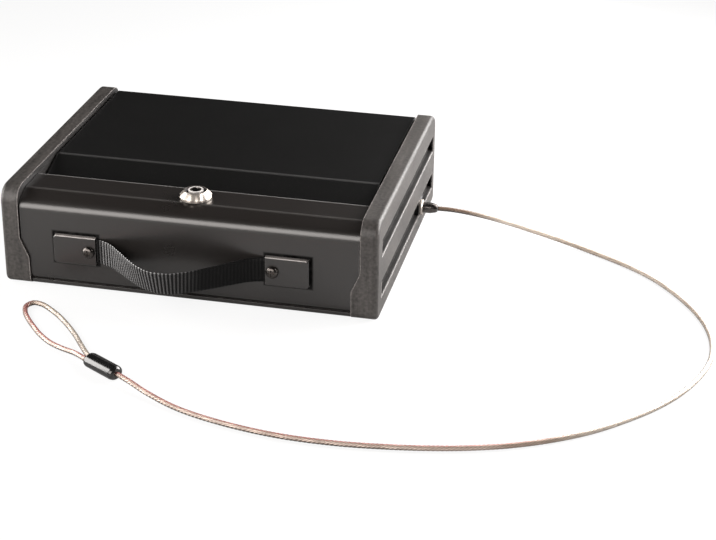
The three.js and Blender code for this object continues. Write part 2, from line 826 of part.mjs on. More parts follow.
function camScrew() {
  const face = camBottom - seat;
  return rodZ(camScrewRadius, 0, 0, face - camScrewHead, face, smallSides)
    .add(rodZ(
      camScrewShank, 0, 0, face - camScrewHead / 2, face + camScrewLength - 2 * seat, smallSides,
    ))
    .translate([0, lockY, 0]);
}

// Handle
function handleScrewX(side) {
  return handleShift + side * (handleSpan / 2 + screwInset);
}

// Cover plate, drawn for the right end: open towards the face and towards the strap
function handlePlate() {
  const back = frontFace - seat;
  const stand = strapThickness + 2 * seat;
  const front = back - stand - handlePlateSkin + seat;
  const inner = 0;
  const outer = handlePlateLength;
  const half = handlePlateWidth / 2;
  const plateOutline = (inset) => rounded([
    [inner, -half + inset], [outer - inset, -half + inset, handlePlateCorner - inset],
    [outer - inset, half - inset, handlePlateCorner - inset], [inner, half - inset],
  ]);
  const section = (y, inset) => plateOutline(inset)
    .map((point) => new THREE.Vector3(point.x, y, point.y));
  const skin = loft([
    section(back, 0), section(front + handlePlateEdge, 0), section(front, handlePlateEdge),
  ]);
  const pocket = block(
    inner - overrun, outer - handlePlateSkin, front + handlePlateSkin, back + overrun,
    -half + handlePlateSkin, half - handlePlateSkin,
  );
  return skin.subtract(pocket)
    .subtract(rodY(screwShank + seat, screwInset, front - overrun, back + overrun, 0))
    .translate([handleShift + handleSpan / 2, 0, handleHeight]);
}

// Pan head screw with a cross recess, its axis along Y and its head to the front.
// Each row is a share of the head's radius and of its height
const screwDomeShares = [[0, 0], [1, 0], [1, 0.3], [0.86, 0.68], [0.6, 0.92], [0.3, 1], [0, 1]];
function handleScrew() {
  const under = frontFace - strapThickness - 2 * seat - handlePlateSkin - seat;
  const tip = frontFace + sheet + seat + nutHeight + screwBeyondNut;
  const dome = turned(screwDomeShares.map(([r, h]) => [r * screwHeadRadius, h * screwHead]))
    .rotate([90, 0, 0]);
  const [across, upright] = [[screwSlotLength, screwSlot], [screwSlot, screwSlotLength]]
    .map(([w, h]) => block(
      -w / 2, w / 2, -screwHead - overrun, -screwHead + screwRecess, -h / 2, h / 2,
    ));
  return dome.subtract(across).subtract(upright)
    .translate([0, under, 0])
    .add(rodY(screwShank, 0, under - screwHead / 2, tip, 0));
}

function handleNut() {
  const face = frontFace + sheet + seat;
  return alongZ(hexagon(nutAcross), 0, nutHeight)
    .rotate([90, 0, 0])
    .translate([0, face + nutHeight, 0])
    .subtract(rodY(screwShank + seat, 0, face - overrun, face + nutHeight + overrun, 0));
}

// Strap: straight under both plates, bowed outwards between them, top edge leaning out
const strapBowShares = [0, 0.11, 0.36, 0.64, 0.87, 0.99, 0.975, 0.86, 0.68, 0.48, 0.27, 0.08, 0];
function handleStrap() {
  const base = frontFace - seat - strapThickness / 2;
  const tuck = handleSpan / 2 + strapTuck;
  const last = strapBowShares.length - 1;
  const places = strapBowShares.map((share, k) => new THREE.Vector3(
    -handleSpan / 2 + (handleSpan * k) / last, share, 0,
  ));
  const curve = new THREE.CatmullRomCurve3(
    [new THREE.Vector3(-tuck, 0, 0), ...places, new THREE.Vector3(tuck, 0, 0)],
    false, 'centripetal',
  );
  const centreAt = (t) => {
    const point = curve.getPoint(t);
    return new THREE.Vector3(point.x, base - strapBow * point.y, -strapSag * point.y);
  };
  const sections = [];
  for (let k = 0; k <= strapSteps; k += 1) {
    const t = k / strapSteps;
    const small = 1 / (4 * strapSteps);
    const centre = centreAt(t);
    const run = centreAt(Math.min(1, t + small)).sub(centreAt(Math.max(0, t - small))).normalize();
    const out = new THREE.Vector3().crossVectors(run, axisZ).normalize();
    const tilt = THREE.MathUtils.degToRad(strapTilt) * Math.max(0, curve.getPoint(t).y);
    const up = axisZ.clone().multiplyScalar(Math.cos(tilt)).addScaledVector(out, Math.sin(tilt));
    const away = out.clone().multiplyScalar(Math.cos(tilt)).addScaledVector(axisZ, -Math.sin(tilt));
    const corner = (u, v) => centre.clone()
      .addScaledVector(up, (u * strapWidth) / 2).addScaledVector(away, (v * strapThickness) / 2);
    sections.push([corner(-1, -1), corner(1, -1), corner(1, 1), corner(-1, 1)]);
  }
  let strap = loft(sections).translate([handleShift, 0, handleHeight]);
  [-1, 1].forEach((side) => {
    strap = strap.subtract(rodY(
      screwShank + seat, handleScrewX(side), base - strapThickness, base + strapThickness,
      handleHeight,
    ));
  });
  return strap;
}

// Screw that holds an end cap, drawn at the right side with its head inside the case
function capScrew() {
  const face = plateInner - seat;
  return rodX(capScrewRadius, face - capScrewHead, face, 0, 0)
    .add(rodX(capScrewShank, face - capScrewHead / 2, face + capScrewLength, 0, 0));
}

// Cable fitting, along +X from the end plate
const grooveFloor = width / 2 - grooveDepth;
const grommetOuter = width / 2 - seat;
const collarStart = grommetOuter + seat;
const sleeveStart = collarStart + collarThickness + seat;
const sleeveEnd = sleeveStart + sleeveLength;

function cableGrommet() {
  const low = lowerGroove + seat;
  const high = lowerGroove + grooveHeight - seat;
  return block(
    grooveFloor + seat, grommetOuter, fittingY - grommetLength / 2, fittingY + grommetLength / 2,
    low, high,
  ).subtract(rodX(studRadius + seat, grooveFloor, width / 2 + overrun, fittingY, fittingZ));
}

function cableCollar() {
  const bore = studRadius + seat;
  const end = collarStart + collarThickness;
  return turned([
    [bore, collarStart], [collarRadius, collarStart], [collarRadius, end - collarChamfer],
    [collarRadius - collarChamfer, end], [bore, end], [bore, collarStart],
  ]).rotate([0, 90, 0]).translate([0, fittingY, fittingZ]);
}

function cableSleeve() {
  return turned([
    [0, collarStart], [studRadius, collarStart], [studRadius, sleeveStart],
    [sleeveRadius, sleeveStart], [sleeveRadius, sleeveStart + sleeveLength / 2],
    [sleeveTipRadius, sleeveEnd - sleeveRound], [sleeveTipRadius - sleeveRound / 2, sleeveEnd],
    [0, sleeveEnd],
  ]).rotate([0, 90, 0]).translate([0, fittingY, fittingZ]);
}

function cableStud() {
  return rodX(studRadius, plateInner - studInside, grommetOuter, fittingY, fittingZ);
}

function cableWasherDisc() {
  const outer = plateInner - seat;
  return rodX(cableWasherRadius, outer - cableWasher, outer, fittingY, fittingZ)
    .subtract(rodX(
      studRadius + seat, outer - cableWasher - overrun, outer + overrun, fittingY, fittingZ,
    ));
}

function cableNut() {
  const outer = plateInner - cableWasher - 2 * seat;
  return alongZ(hexagon(cableNutAcross), 0, cableNutHeight)
    .rotate([0, 90, 0])
    .translate([outer - cableNutHeight, fittingY, fittingZ])
    .subtract(rodX(
      studRadius + seat, outer - cableNutHeight - overrun, outer + overrun, fittingY, fittingZ,
    ));
}

// Wire rope along a route
function ropeAlong(route, steps) {
  const section = new THREE.Shape(Array.from({ length: cableSides }, (_, k) => {
    const angle = (2 * Math.PI * (k + 1 / 2)) / cableSides;
    return new THREE.Vector2(cableRadius * Math.cos(angle), cableRadius * Math.sin(angle));
  }));
  const path = new THREE.CatmullRomCurve3(
    route.map(([x, y, z]) => new THREE.Vector3(x, y, z)), false, 'centripetal',
  );
  return solid(new THREE.ExtrudeGeometry(section, {
    steps, bevelEnabled: false, extrudePath: path,
  }));
}

// Oval crimp barrel with rounded ends, between the run of the cable and its loop
function crimpFerrule() {
  const start = new THREE.Vector3(...ferruleStart);
  const end = new THREE.Vector3(...ferruleEnd);
  const middle = start.clone().add(end).divideScalar(2);
  const heading = Math.atan2(end.y - start.y, end.x - start.x);
  const half = ferruleLength / 2;
  const radius = ferruleWidth / 2;
  const flat = ferruleHeight / ferruleWidth;
  const profile = [[0, -half]];
  for (let k = 0; k <= ferruleSteps; k += 1) {
    const angle = (k * Math.PI) / (2 * ferruleSteps);
    profile.push([
      radius - ferruleRound * (1 - Math.sin(angle)),
      -half + ferruleRound * (1 - Math.cos(angle)),
    ]);
  }
  const otherEnd = profile.map(([r, h]) => [r, -h]).reverse();
  return turned([...profile, ...otherEnd])
    .rotate([0, 90, 0])
    .scale([1, 1, flat])
    .rotate([0, 0, THREE.MathUtils.radToDeg(heading)])
    .translate([middle.x, middle.y, middle.z]);
}

// Assembly
const safe = new THREE.Group();

function add(parent, name, body, material, place = [0, 0, 0]) {
  const mesh = new THREE.Mesh(geometryOf(body), material());
  mesh.name = name;
  mesh.position.set(...place);
  parent.add(mesh);
}

const mirrored = (body) => body.mirror([1, 0, 0]);
const sided = (body, side) => (side < 0 ? mirrored(body) : body);
const sides = [['left', -1], ['right', 1]];

const casing = new THREE.Group();
add(casing, 'body_shell', bodyShell(), facePaint);
add(casing, 'left_end_plate', mirrored(endPlate()), steelPaint);
add(casing, 'right_end_plate', rightEndPlate(), steelPaint);
add(casing, 'left_end_cap', mirrored(endCap()), capPlastic);
add(casing, 'right_end_cap', rightEndCap(), capPlastic);
add(casing, 'finger_channel', fingerChannel(), steelPaint);
add(casing, 'base_liner', baseLiner(), foam);
sides.forEach(([word, side]) => {
  add(casing, `${word}_hinge_pin`, sided(hingePin(), side), zinc, [0, hingeY, hingeZ]);
  capScrewPlaces().forEach(([y, z]) => {
    const place = `${y < 0 ? 'front' : 'rear'}_${z === capScrewLow ? 'lower' : 'upper'}`;
    add(casing, `${word}_cap_screw_${place}`, sided(capScrew(), side), zinc, [0, y, z]);
  });
});
safe.add(casing);

const lid = new THREE.Group();
add(lid, 'lid', lidPanel(), steelPaint);
add(lid, 'lid_strike', strikeHook(), zinc);
add(lid, 'lid_liner', lidLiner(), foam);
sides.forEach(([word, side]) => {
  add(lid, `${word}_hinge_washer`, sided(hingeWasherRing(), side), zinc, [0, hingeY, hingeZ]);
});
safe.add(lid);

const lock = new THREE.Group();
add(lock, 'lock_housing', lockHousing(), chrome);
add(lock, 'lock_nut', lockNut(), zinc);
add(lock, 'lock_plug', lockPlug(), chrome);
add(lock, 'cam_washer', camWasherDisc(), zinc);
add(lock, 'lock_cam', lockCam(), zinc);
add(lock, 'cam_screw', camScrew(), zinc);
safe.add(lock);

const handle = new THREE.Group();
add(handle, 'handle_strap', handleStrap(), webbing);
sides.forEach(([word, side]) => {
  const plate = handlePlate();
  const turnedPlate = side < 0
    ? mirrored(plate.translate([-handleShift, 0, 0])).translate([handleShift, 0, 0])
    : plate;
  const place = [handleScrewX(side), 0, handleHeight];
  add(handle, `${word}_handle_plate`, turnedPlate, facePaint);
  add(handle, `${word}_handle_screw`, handleScrew(), darkSteel, place);
  add(handle, `${word}_handle_nut`, handleNut(), zinc, place);
});
safe.add(handle);

const tether = new THREE.Group();
const tetherPlace = [sleeveEnd + seat - cableRoute[0][0], fittingY - cableRoute[0][1], 0];
add(tether, 'cable_grommet', cableGrommet(), blackPlastic);
add(tether, 'cable_collar', cableCollar(), chrome);
add(tether, 'cable_sleeve', cableSleeve(), darkSteel);
add(tether, 'cable_stud', cableStud(), zinc);
add(tether, 'cable_washer', cableWasherDisc(), zinc);
add(tether, 'cable_nut', cableNut(), zinc);
add(tether, 'cable_run', ropeAlong(cableRoute, cableSteps), rope, tetherPlace);
add(tether, 'crimp_ferrule', crimpFerrule(), blackPlastic, tetherPlace);
add(tether, 'cable_loop', ropeAlong(loopRoute, loopSteps), rope, tetherPlace);
safe.add(tether);

// The tether lies outside the frame: everything else is centred on the origin from front to back
const tetherNodes = ['cable_collar', 'cable_sleeve', 'cable_run', 'crimp_ferrule', 'cable_loop'];
const footprint = new THREE.Box3();
safe.traverse((node) => {
  if (node.isMesh && !tetherNodes.includes(node.name)) footprint.expandByObject(node);
});
safe.position.y = -(footprint.min.y + footprint.max.y) / 2;

export default safe;
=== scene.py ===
"""Looks of the portable car safe: paint, mouldings, plating, woven strap and wire rope on the CAD frame.

Metres, in the frame of the CAD model: +X towards the cable, -Y front, +Z up.
"""

import json
import math

import bpy
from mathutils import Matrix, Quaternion, Vector


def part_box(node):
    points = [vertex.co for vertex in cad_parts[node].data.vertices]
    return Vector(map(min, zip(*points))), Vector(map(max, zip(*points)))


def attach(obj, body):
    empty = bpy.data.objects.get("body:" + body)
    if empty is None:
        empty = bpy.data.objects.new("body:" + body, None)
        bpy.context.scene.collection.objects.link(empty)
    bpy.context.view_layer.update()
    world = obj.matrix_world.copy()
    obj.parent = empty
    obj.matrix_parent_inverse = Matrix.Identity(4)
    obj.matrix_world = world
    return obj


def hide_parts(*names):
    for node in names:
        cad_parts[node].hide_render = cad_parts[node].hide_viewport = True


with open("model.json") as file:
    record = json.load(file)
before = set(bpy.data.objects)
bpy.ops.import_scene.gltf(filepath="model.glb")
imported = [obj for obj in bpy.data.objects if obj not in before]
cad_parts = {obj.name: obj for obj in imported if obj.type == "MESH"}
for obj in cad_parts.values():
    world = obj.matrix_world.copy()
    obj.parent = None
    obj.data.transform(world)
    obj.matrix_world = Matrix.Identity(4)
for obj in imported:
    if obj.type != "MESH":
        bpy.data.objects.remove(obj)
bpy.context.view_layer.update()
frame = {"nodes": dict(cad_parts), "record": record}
nodes = frame["nodes"]
mm = 0.001

# The case, from the frame
cap_low, cap_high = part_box("left_end_cap")
case_middle_y = (cap_low.y + cap_high.y) / 2
case_height = cap_high.z
cap_face_x = -cap_low.x
cap_half_depth = (cap_high.y - cap_low.y) / 2
case_shift = Vector((0, case_middle_y, 0))
shell_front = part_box("body_shell")[0].y

# Bends of the folded sheet, behind the front face
ledge_crease_y = shell_front + 12.9 * mm
ledge_edge_y = shell_front + 37 * mm
lid_crease_y = shell_front + 67 * mm

# Camera, as fitted to the edges of the case in the photograph
photo_width = 716
camera_focal_px = 1849.055
camera_place = Vector((314.690, -1081.689, 521.108)) * mm
camera_azimuth = math.radians(11.863)
camera_elevation = math.radians(25.827)
camera_roll = math.radians(0.832)
camera_near = 0.01
camera_far = 20
sensor_width = 36

# Tether: the CAD route, in millimetres from the middle of the case and up from the floor
cable_diameter = 3.2 * mm
cable_route = [
    (132.2, 46.5, 15.5), (140.5, 47.3, 15.2), (150.1, 48.6, 14.0), (165.3, 49.7, 11.4),
    (179.7, 49.2, 8.8), (194.4, 47.4, 6.2), (209.7, 44.0, 4.0), (223.7, 39.2, 2.5),
    (238.4, 31.9, 1.75), (263.4, 15.8, 1.65), (280.6, 1.0, 1.65), (296.4, -18.6, 1.65),
    (309.4, -40.0, 1.65), (318.0, -62.0, 1.65), (321.8, -84.2, 1.65), (321.0, -104.4, 1.65),
    (315.9, -124.0, 1.65), (307.2, -144.4, 1.65), (295.4, -163.4, 1.65), (279.6, -182.1, 1.65),
    (261.6, -199.4, 1.65), (240.9, -213.8, 1.65), (218.9, -225.0, 1.65), (196.6, -232.8, 1.65),
    (175.1, -238.0, 1.65), (155.0, -241.4, 1.65), (128.0, -244.2, 1.65), (94.2, -243.6, 1.65),
    (60.0, -237.4, 1.65), (32.6, -228.0, 1.7), (10.6, -216.1, 2.6), (0.2, -209.7, 3.8),
    (-9.6, -203.7, 4.4),
]
loop_route = [
    (-31.2, -188.1, 4.4), (-33.7, -186.0, 4.4), (-37.2, -181.2, 4.0), (-43.4, -171.6, 2.9),
    (-51.4, -159.4, 1.9), (-60.2, -148.2, 1.65), (-69.4, -138.2, 1.65), (-78.4, -130.2, 1.65),
    (-85.4, -125.4, 1.65), (-91.2, -124.6, 1.65), (-94.0, -129.4, 1.65), (-91.6, -137.6, 1.65),
    (-86.6, -145.6, 1.65), (-79.8, -154.4, 1.65), (-72.0, -163.4, 1.65), (-62.6, -171.6, 1.65),
    (-52.8, -177.4, 2.0), (-43.6, -182.8, 3.2), (-37.8, -187.4, 4.1), (-33.2, -191.2, 4.4),
]
rope_strands = 6
rope_lay = 15 * mm
rope_groove_share = 0.13
rope_sides_per_strand = 5
rope_step = 1.2 * mm

# Strap: the CAD bow, as shares of its depth at even places between the plates
strap_bow_shares = [0, 0.11, 0.36, 0.64, 0.87, 0.99, 0.975, 0.86, 0.68, 0.48, 0.27, 0.08, 0]
strap_span = 108.6 * mm
strap_tuck = 12 * mm
strap_bow = 26 * mm
strap_sag = 4.3 * mm
strap_width = 16.2 * mm
strap_thickness = 1.6 * mm
strap_tilt = math.radians(15)
strap_rib_pitch = 2.25 * mm
strap_rib_height = 0.55 * mm
strap_selvage = 0.9 * mm
strap_selvage_rise = 0.7
strap_edge_share = 0.35
strap_points_across = 12
strap_steps_per_rib = 6
strap_fine_step = strap_span / 400

# Liners: felt-faced foam
liner_corner = 6 * mm
liner_edge = 1.2 * mm
liner_arc_steps = 6
liner_levels = 8

# Radii of the lock, seen from above
key_way_radius = 3.5 * mm
plug_radius = 4.7 * mm
dish_radius = 6.5 * mm

# Joined corners, and from which angle on an edge of a CAD solid is sharp or gets rounded
join_distance = 0.01 * mm
sharp_angle = math.radians(32)
rounded_angle = math.radians(40)

# Colours of the finishes: red, green and blue, linear
case_coat = (0.0115, 0.0098, 0.009)
# Paler colour at the case's edges and bends: partly wear, partly painted highlight
case_rub_and_highlight = (0.24, 0.235, 0.23)
lid_coat = (0.0056, 0.0056, 0.0056)
# Paler colour at the lid's edges and crease: partly wear, partly painted highlight
lid_rub_and_highlight = (0.085, 0.085, 0.085)
paint_dust = (0.2, 0.19, 0.18)
# Painted shadow round the handle plates, and a painted highlight on their top edges
plate_painted_shadow = (0.002, 0.002, 0.002)
plate_edge_highlight = (0.3, 0.28, 0.27)
cap_moulding = (0.0365, 0.033, 0.0307)
cap_dust = (0.25, 0.24, 0.23)
# Paler edges of the caps: partly wear, partly painted highlight
cap_rub_and_highlight = (0.36, 0.33, 0.32)
# Painted shade in the caps' grooves and on their faces that look inwards
cap_painted_shade = (0.0035, 0.003, 0.003)
felt_grey = (0.012, 0.012, 0.013)
chrome_bright = (0.58, 0.53, 0.48)
# Painted shade in the lock's dish and key way, and a painted highlight on the plug's rim
lock_shade = (0.012, 0.01, 0.01)
plug_rim_highlight = (0.8, 0.77, 0.75)
zinc_grey = (0.42, 0.42, 0.41)
blued_steel = (0.11, 0.1, 0.094)
ferrule_black = (0.006, 0.006, 0.006)
web_black = (0.012, 0.012, 0.0122)
rope_pale = (0.62, 0.54, 0.46)
rope_grey = (0.42, 0.34, 0.27)
rope_brown = (0.17, 0.11, 0.075)
# Painted rose reflection on part of the rope
rope_rose_reflection = (0.66, 0.24, 0.22)

# The value that noise lies evenly round
noise_middle = 0.5

# Lamps: name, azimuth and elevation in degrees, distance, width and height, power and colour.
# Azimuth 0 is the front and 90 the right side.
soft_boxes = (
    ("front_box", -18, 23, 0.9, (0.95, 0.5), 7.2, (1, 0.95, 0.915)),
    ("left_box", -75, 18, 0.5, (0.4, 0.35), 3.3, (1, 0.975, 0.95)),
    ("right_box", 125, 34, 0.55, (0.5, 0.45), 6.2, (1, 0.975, 0.96)),
    ("right_side_box", 95, 20, 0.5, (0.3, 0.3), 3.3, (1, 0.97, 0.955)),
    ("right_low_box", 152, 12, 0.6, (0.3, 0.2), 1.0, (1, 1, 1)),
)
floor_half = 6.0
floor_drop = 0.05 * mm


def dense_curve(points, points_per_span=24):
    """Points on a centripetal Catmull-Rom curve through the given ones."""
    ends = [points[0] * 2 - points[1], *points, points[-1] * 2 - points[-2]]
    dense = []
    for a, b, c, d in zip(ends, ends[1:], ends[2:], ends[3:]):
        t1 = math.sqrt((b - a).length)
        t2 = t1 + math.sqrt((c - b).length)
        t3 = t2 + math.sqrt((d - c).length)
        for k in range(points_per_span):
            t = t1 + (t2 - t1) * k / points_per_span
            ab = a.lerp(b, t / t1)
            bc = b.lerp(c, (t - t1) / (t2 - t1))
            cd = c.lerp(d, (t - t2) / (t3 - t2))
            abc = ab.lerp(bc, t / t2)
            bcd = bc.lerp(cd, (t - t1) / (t3 - t1))
            dense.append(abc.lerp(bcd, (t - t1) / (t2 - t1)))
    dense.append(points[-1].copy())
    return dense


def smooth_route(points, step):
    """Points at even steps on the curve through the given ones, and its length."""
    dense = dense_curve(points)
    lengths = [0.0]
    for a, b in zip(dense, dense[1:]):
        lengths.append(lengths[-1] + (b - a).length)
    total = lengths[-1]
    count = max(2, round(total / step))
    shortest = 1e-9
    even = []
    at = 0
    for k in range(count + 1):
        wanted = total * k / count
        while at < len(lengths) - 2 and lengths[at + 1] < wanted:
            at += 1
        share = (wanted - lengths[at]) / max(lengths[at + 1] - lengths[at], shortest)
        even.append(dense[at].lerp(dense[at + 1], min(1, max(0, share))))
    return even, total


def skin(name, rings, uvs):
    """A closed mesh over rings of equal counts, with a UV map that runs round and along it."""
    count = len(rings[0])
    points = [p for ring in rings for p in ring]
    faces = []
    face_uvs = []
    for row in range(len(rings) - 1):
        for i in range(count):
            j = (i + 1) % count
            a = row * count
            faces.append((a + i, a + j, a + count + j, a + count + i))
            around = ((i, row), (i + 1, row), (i + 1, row + 1), (i, row + 1))
            face_uvs.extend(uvs(u, v) for u, v in around)
    last = (len(rings) - 1) * count
    faces.append(tuple(reversed(range(count))))
    faces.append(tuple(range(last, last + count)))
    face_uvs.extend(uvs(i, 0) for i in reversed(range(count)))
    face_uvs.extend(uvs(i, len(rings) - 1) for i in range(count))
    mesh = bpy.data.meshes.new(name)
    mesh.from_pydata(points, [], faces)
    layer = mesh.uv_layers.new(name="UVMap")
    layer.data.foreach_set("uv", [x for uv in face_uvs for x in uv])
    mesh.shade_smooth()
    piece = bpy.data.objects.new(name, mesh)
    bpy.context.scene.collection.objects.link(piece)
    return piece


def make_camera():
    back = Vector((
        math.sin(camera_azimuth) * math.cos(camera_elevation),
        -math.cos(camera_azimuth) * math.cos(camera_elevation),
        math.sin(camera_elevation),
    ))
    camera = bpy.data.objects.new("camera", bpy.data.cameras.new("camera"))
    bpy.context.scene.collection.objects.link(camera)
    level = back.to_track_quat("Z", "Y")
    camera.rotation_mode = "QUATERNION"
    camera.rotation_quaternion = level @ Quaternion((0, 0, 1), camera_roll)
    camera.location = camera_place + case_shift
    camera.data.sensor_width = sensor_width
    camera.data.lens = sensor_width * camera_focal_px / photo_width
    camera.data.clip_start = camera_near
    camera.data.clip_end = camera_far
    bpy.context.scene.camera = camera


def make_rope(name, route):
    """Six strands laid round each other, as one skin that turns along the route."""
    places = [Vector(p) * mm + case_shift for p in route]
    centres, length = smooth_route(places, rope_step)
    count = rope_strands * rope_sides_per_strand
    radius = cable_diameter / 2
    along = (centres[1] - centres[0]).normalized()
    side = along.cross(Vector((0, 0, 1))).normalized()
    rings = []
    step = length / (len(centres) - 1)
    straight = 1e-7
    for k, centre in enumerate(centres):
        ahead = centres[min(k + 1, len(centres) - 1)] - centres[max(k - 1, 0)]
        ahead.normalize()
        turn = along.angle(ahead, 0)
        if turn > straight:
            side = Quaternion(along.cross(ahead).normalized(), turn) @ side
        side = (side - ahead * side.dot(ahead)).normalized()
        along = ahead
        up = side.cross(along)
        twist = 2 * math.pi * k * step / rope_lay
        ring = []
        for i in range(count):
            angle = 2 * math.pi * i / count
            crown = abs(math.cos(angle * rope_strands / 2))
            reach = radius * (1 - rope_groove_share * (1 - crown))
            turned = angle + twist
            ring.append(centre + (side * math.cos(turned) + up * math.sin(turned)) * reach)
        rings.append(ring)
    piece = skin(name, rings, lambda i, k: (i / count, k * step / rope_lay))
    return piece, centres, length


def make_tether():
    run, run_path, run_length = make_rope("tether_cable", cable_route)
    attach(run, "case")
    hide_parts("cable_run")
    loop, loop_path, loop_length = make_rope("tether_loop", loop_route)
    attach(loop, "case")
    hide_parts("cable_loop")
    return run, loop


def strap_centres():
    """The strap's middle line with its share of the bow at each point."""
    low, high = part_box("handle_strap")
    middle_x = (low.x + high.x) / 2
    plate_low, plate_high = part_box("left_handle_plate")
    base_y = high.y - strap_thickness / 2
    height = (plate_low.z + plate_high.z) / 2
    last = len(strap_bow_shares) - 1
    marks = [
        Vector((-strap_span / 2 + strap_span * k / last, share * strap_span, 0))
        for k, share in enumerate(strap_bow_shares)
    ]
    tuck = strap_span / 2 + strap_tuck
    marks = [Vector((-tuck, 0, 0)), *marks, Vector((tuck, 0, 0))]
    plain, _ = smooth_route(marks, strap_fine_step)
    centres = []
    for p in plain:
        share = p.y / strap_span
        centres.append((
            Vector((middle_x + p.x, base_y - strap_bow * share, height - strap_sag * share)),
            max(0.0, share),
        ))
    return centres


def make_strap():
    """Woven strap: rows of ribs across it between two plain selvages."""
    centres = strap_centres()
    even, total = smooth_route([c for c, _ in centres], strap_rib_pitch / strap_steps_per_rib)
    shares = []
    at = 0
    for place in even:
        while at < len(centres) - 1 and centres[at + 1][0].x < place.x:
            at += 1
        shares.append(centres[at][1])
    across = strap_points_across
    half = strap_width / 2
    inside = half - strap_selvage
    upright = Vector((0, 0, 1))
    rings = []
    for k, (centre, share) in enumerate(zip(even, shares)):
        run = (even[min(k + 1, len(even) - 1)] - even[max(k - 1, 0)]).normalized()
        out = run.cross(upright).normalized()
        tilt = strap_tilt * share
        up = upright * math.cos(tilt) + out * math.sin(tilt)
        away = out * math.cos(tilt) - upright * math.sin(tilt)
        wave = 0.5 - 0.5 * math.cos(2 * math.pi * k / strap_steps_per_rib)
        ring = []
        for face in (1, -1):
            for i in range(across + 1):
                place = (-1 + 2 * i / across) * face
                on_rib = abs(place * half) < inside
                rib = strap_rib_height * (wave if on_rib else strap_selvage_rise)
                outline_shade_mask = strap_thickness / 2 - strap_rib_height + rib
                edge = min(1, (1 - abs(place)) * half / (strap_selvage / 2) + strap_edge_share)
                ring.append(centre + up * (place * half) + away * (face * outline_shade_mask * edge))
        rings.append(ring)
    count = len(rings[0])
    step = total / (len(rings) - 1)
    strap = skin(
        "woven_strap", rings,
        lambda i, k: ((i % count) / count * 2 * strap_width / strap_rib_pitch,
                      k * step / strap_rib_pitch),
    )
    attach(strap, "case")
    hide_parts("handle_strap")
    return strap, total


def make_liner(name, node, body):
    """A felt-faced foam sheet with soft edges that fills the box of its CAD solid."""
    low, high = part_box(node)
    middle = (low + high) / 2
    size = high - low
    edge = min(liner_edge, size.z / 3)
    outline = []
    for quarter in range(4):
        centre = Vector((
            (size.x / 2 - liner_corner) * (1 if quarter in (0, 3) else -1),
            (size.y / 2 - liner_corner) * (1 if quarter in (0, 1) else -1),
            0,
        ))
        for k in range(liner_arc_steps + 1):
            angle = math.pi / 2 * (quarter + k / liner_arc_steps)
            outline.append((centre, Vector((math.cos(angle), math.sin(angle), 0))))
    rings = []
    for level in range(liner_levels + 1):
        angle = math.pi * level / liner_levels
        below = level < liner_levels / 2
        rise = (size.z / 2 - edge) * (-1 if below else 1) - edge * math.cos(angle)
        reach = liner_corner - edge + edge * math.sin(angle)
        rings.append([middle + c + d * reach + Vector((0, 0, rise)) for c, d in outline])
    liner = skin(name, rings, lambda i, k: (i / len(outline), k / liner_levels))
    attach(liner, body)
    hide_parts(node)
    return liner


def soft_shading_group():
    """Geometry nodes that join the split corners of a CAD mesh and smooth what isn't an edge."""
    tree = bpy.data.node_groups.new("soft_shading", "GeometryNodeTree")
    tree.interface.new_socket("Geometry", in_out="INPUT", socket_type="NodeSocketGeometry")
    angle = tree.interface.new_socket("Angle", in_out="INPUT", socket_type="NodeSocketFloat")
    angle.default_value = sharp_angle
    tree.interface.new_socket("Geometry", in_out="OUTPUT", socket_type="NodeSocketGeometry")
    entry = tree.nodes.new("NodeGroupInput")
    leave = tree.nodes.new("NodeGroupOutput")
    join = tree.nodes.new("GeometryNodeMergeByDistance")
    join.inputs["Distance"].default_value = join_distance
    plain = tree.nodes.new("GeometryNodeRemoveAttribute")
    plain.inputs["Name"].default_value = "custom_normal"
    faces = tree.nodes.new("GeometryNodeSetShadeSmooth")
    faces.domain = "FACE"
    edges = tree.nodes.new("GeometryNodeSetShadeSmooth")
    edges.domain = "EDGE"
    measured = tree.nodes.new("GeometryNodeInputMeshEdgeAngle")
    gentle = tree.nodes.new("FunctionNodeCompare")
    gentle.operation = "LESS_THAN"
    tree.links.new(entry.outputs["Geometry"], join.inputs["Geometry"])
    tree.links.new(join.outputs["Geometry"], plain.inputs["Geometry"])
    tree.links.new(plain.outputs["Geometry"], faces.inputs["Geometry"])
    tree.links.new(faces.outputs["Geometry"], edges.inputs["Geometry"])
    tree.links.new(measured.outputs["Unsigned Angle"], gentle.inputs["A"])
    tree.links.new(entry.outputs["Angle"], gentle.inputs["B"])
    tree.links.new(gentle.outputs["Result"], edges.inputs["Shade Smooth"])
    tree.links.new(edges.outputs["Geometry"], leave.inputs["Geometry"])
    return tree


# How far the edges of each rigid piece are rounded, in millimetres
edge_rounding = {
    "body_shell": 0.35, "lid": 0.35, "finger_channel": 0.3, "left_end_plate": 0.2,
    "right_end_plate": 0.2, "left_end_cap": 0.7, "right_end_cap": 0.7,
    "left_handle_plate": 0.35, "right_handle_plate": 0.35, "cable_grommet": 0.4,
    "lock_nut": 0.3, "cable_nut": 0.3, "left_handle_nut": 0.2, "right_handle_nut": 0.2,
    "lid_strike": 0.25, "lock_cam": 0.25, "lock_plug": 0.4,
}


def soften_cad_nodes():
    """Smooth the curved faces of the CAD solids, round their edges and keep their flat faces even."""
    shading = soft_shading_group()
    for name, piece in nodes.items():
        if piece.hide_render:
            continue
        join = piece.modifiers.new("joined", "NODES")
        join.node_group = shading
        if name in edge_rounding:
            bevel = piece.modifiers.new("rounded", "BEVEL")
            bevel.width = edge_rounding[name] * mm
            bevel.segments = 2
            bevel.limit_method = "ANGLE"
            bevel.angle_limit = rounded_angle
            bevel.use_clamp_overlap = True
            bevel.harden_normals = False
            smooth = piece.modifiers.new("smoothed", "NODES")
            smooth.node_group = shading
        level = piece.modifiers.new("level_faces", "WEIGHTED_NORMAL")
        level.keep_sharp = True
        level.weight = 80


# Shader node groups shared by the finishes


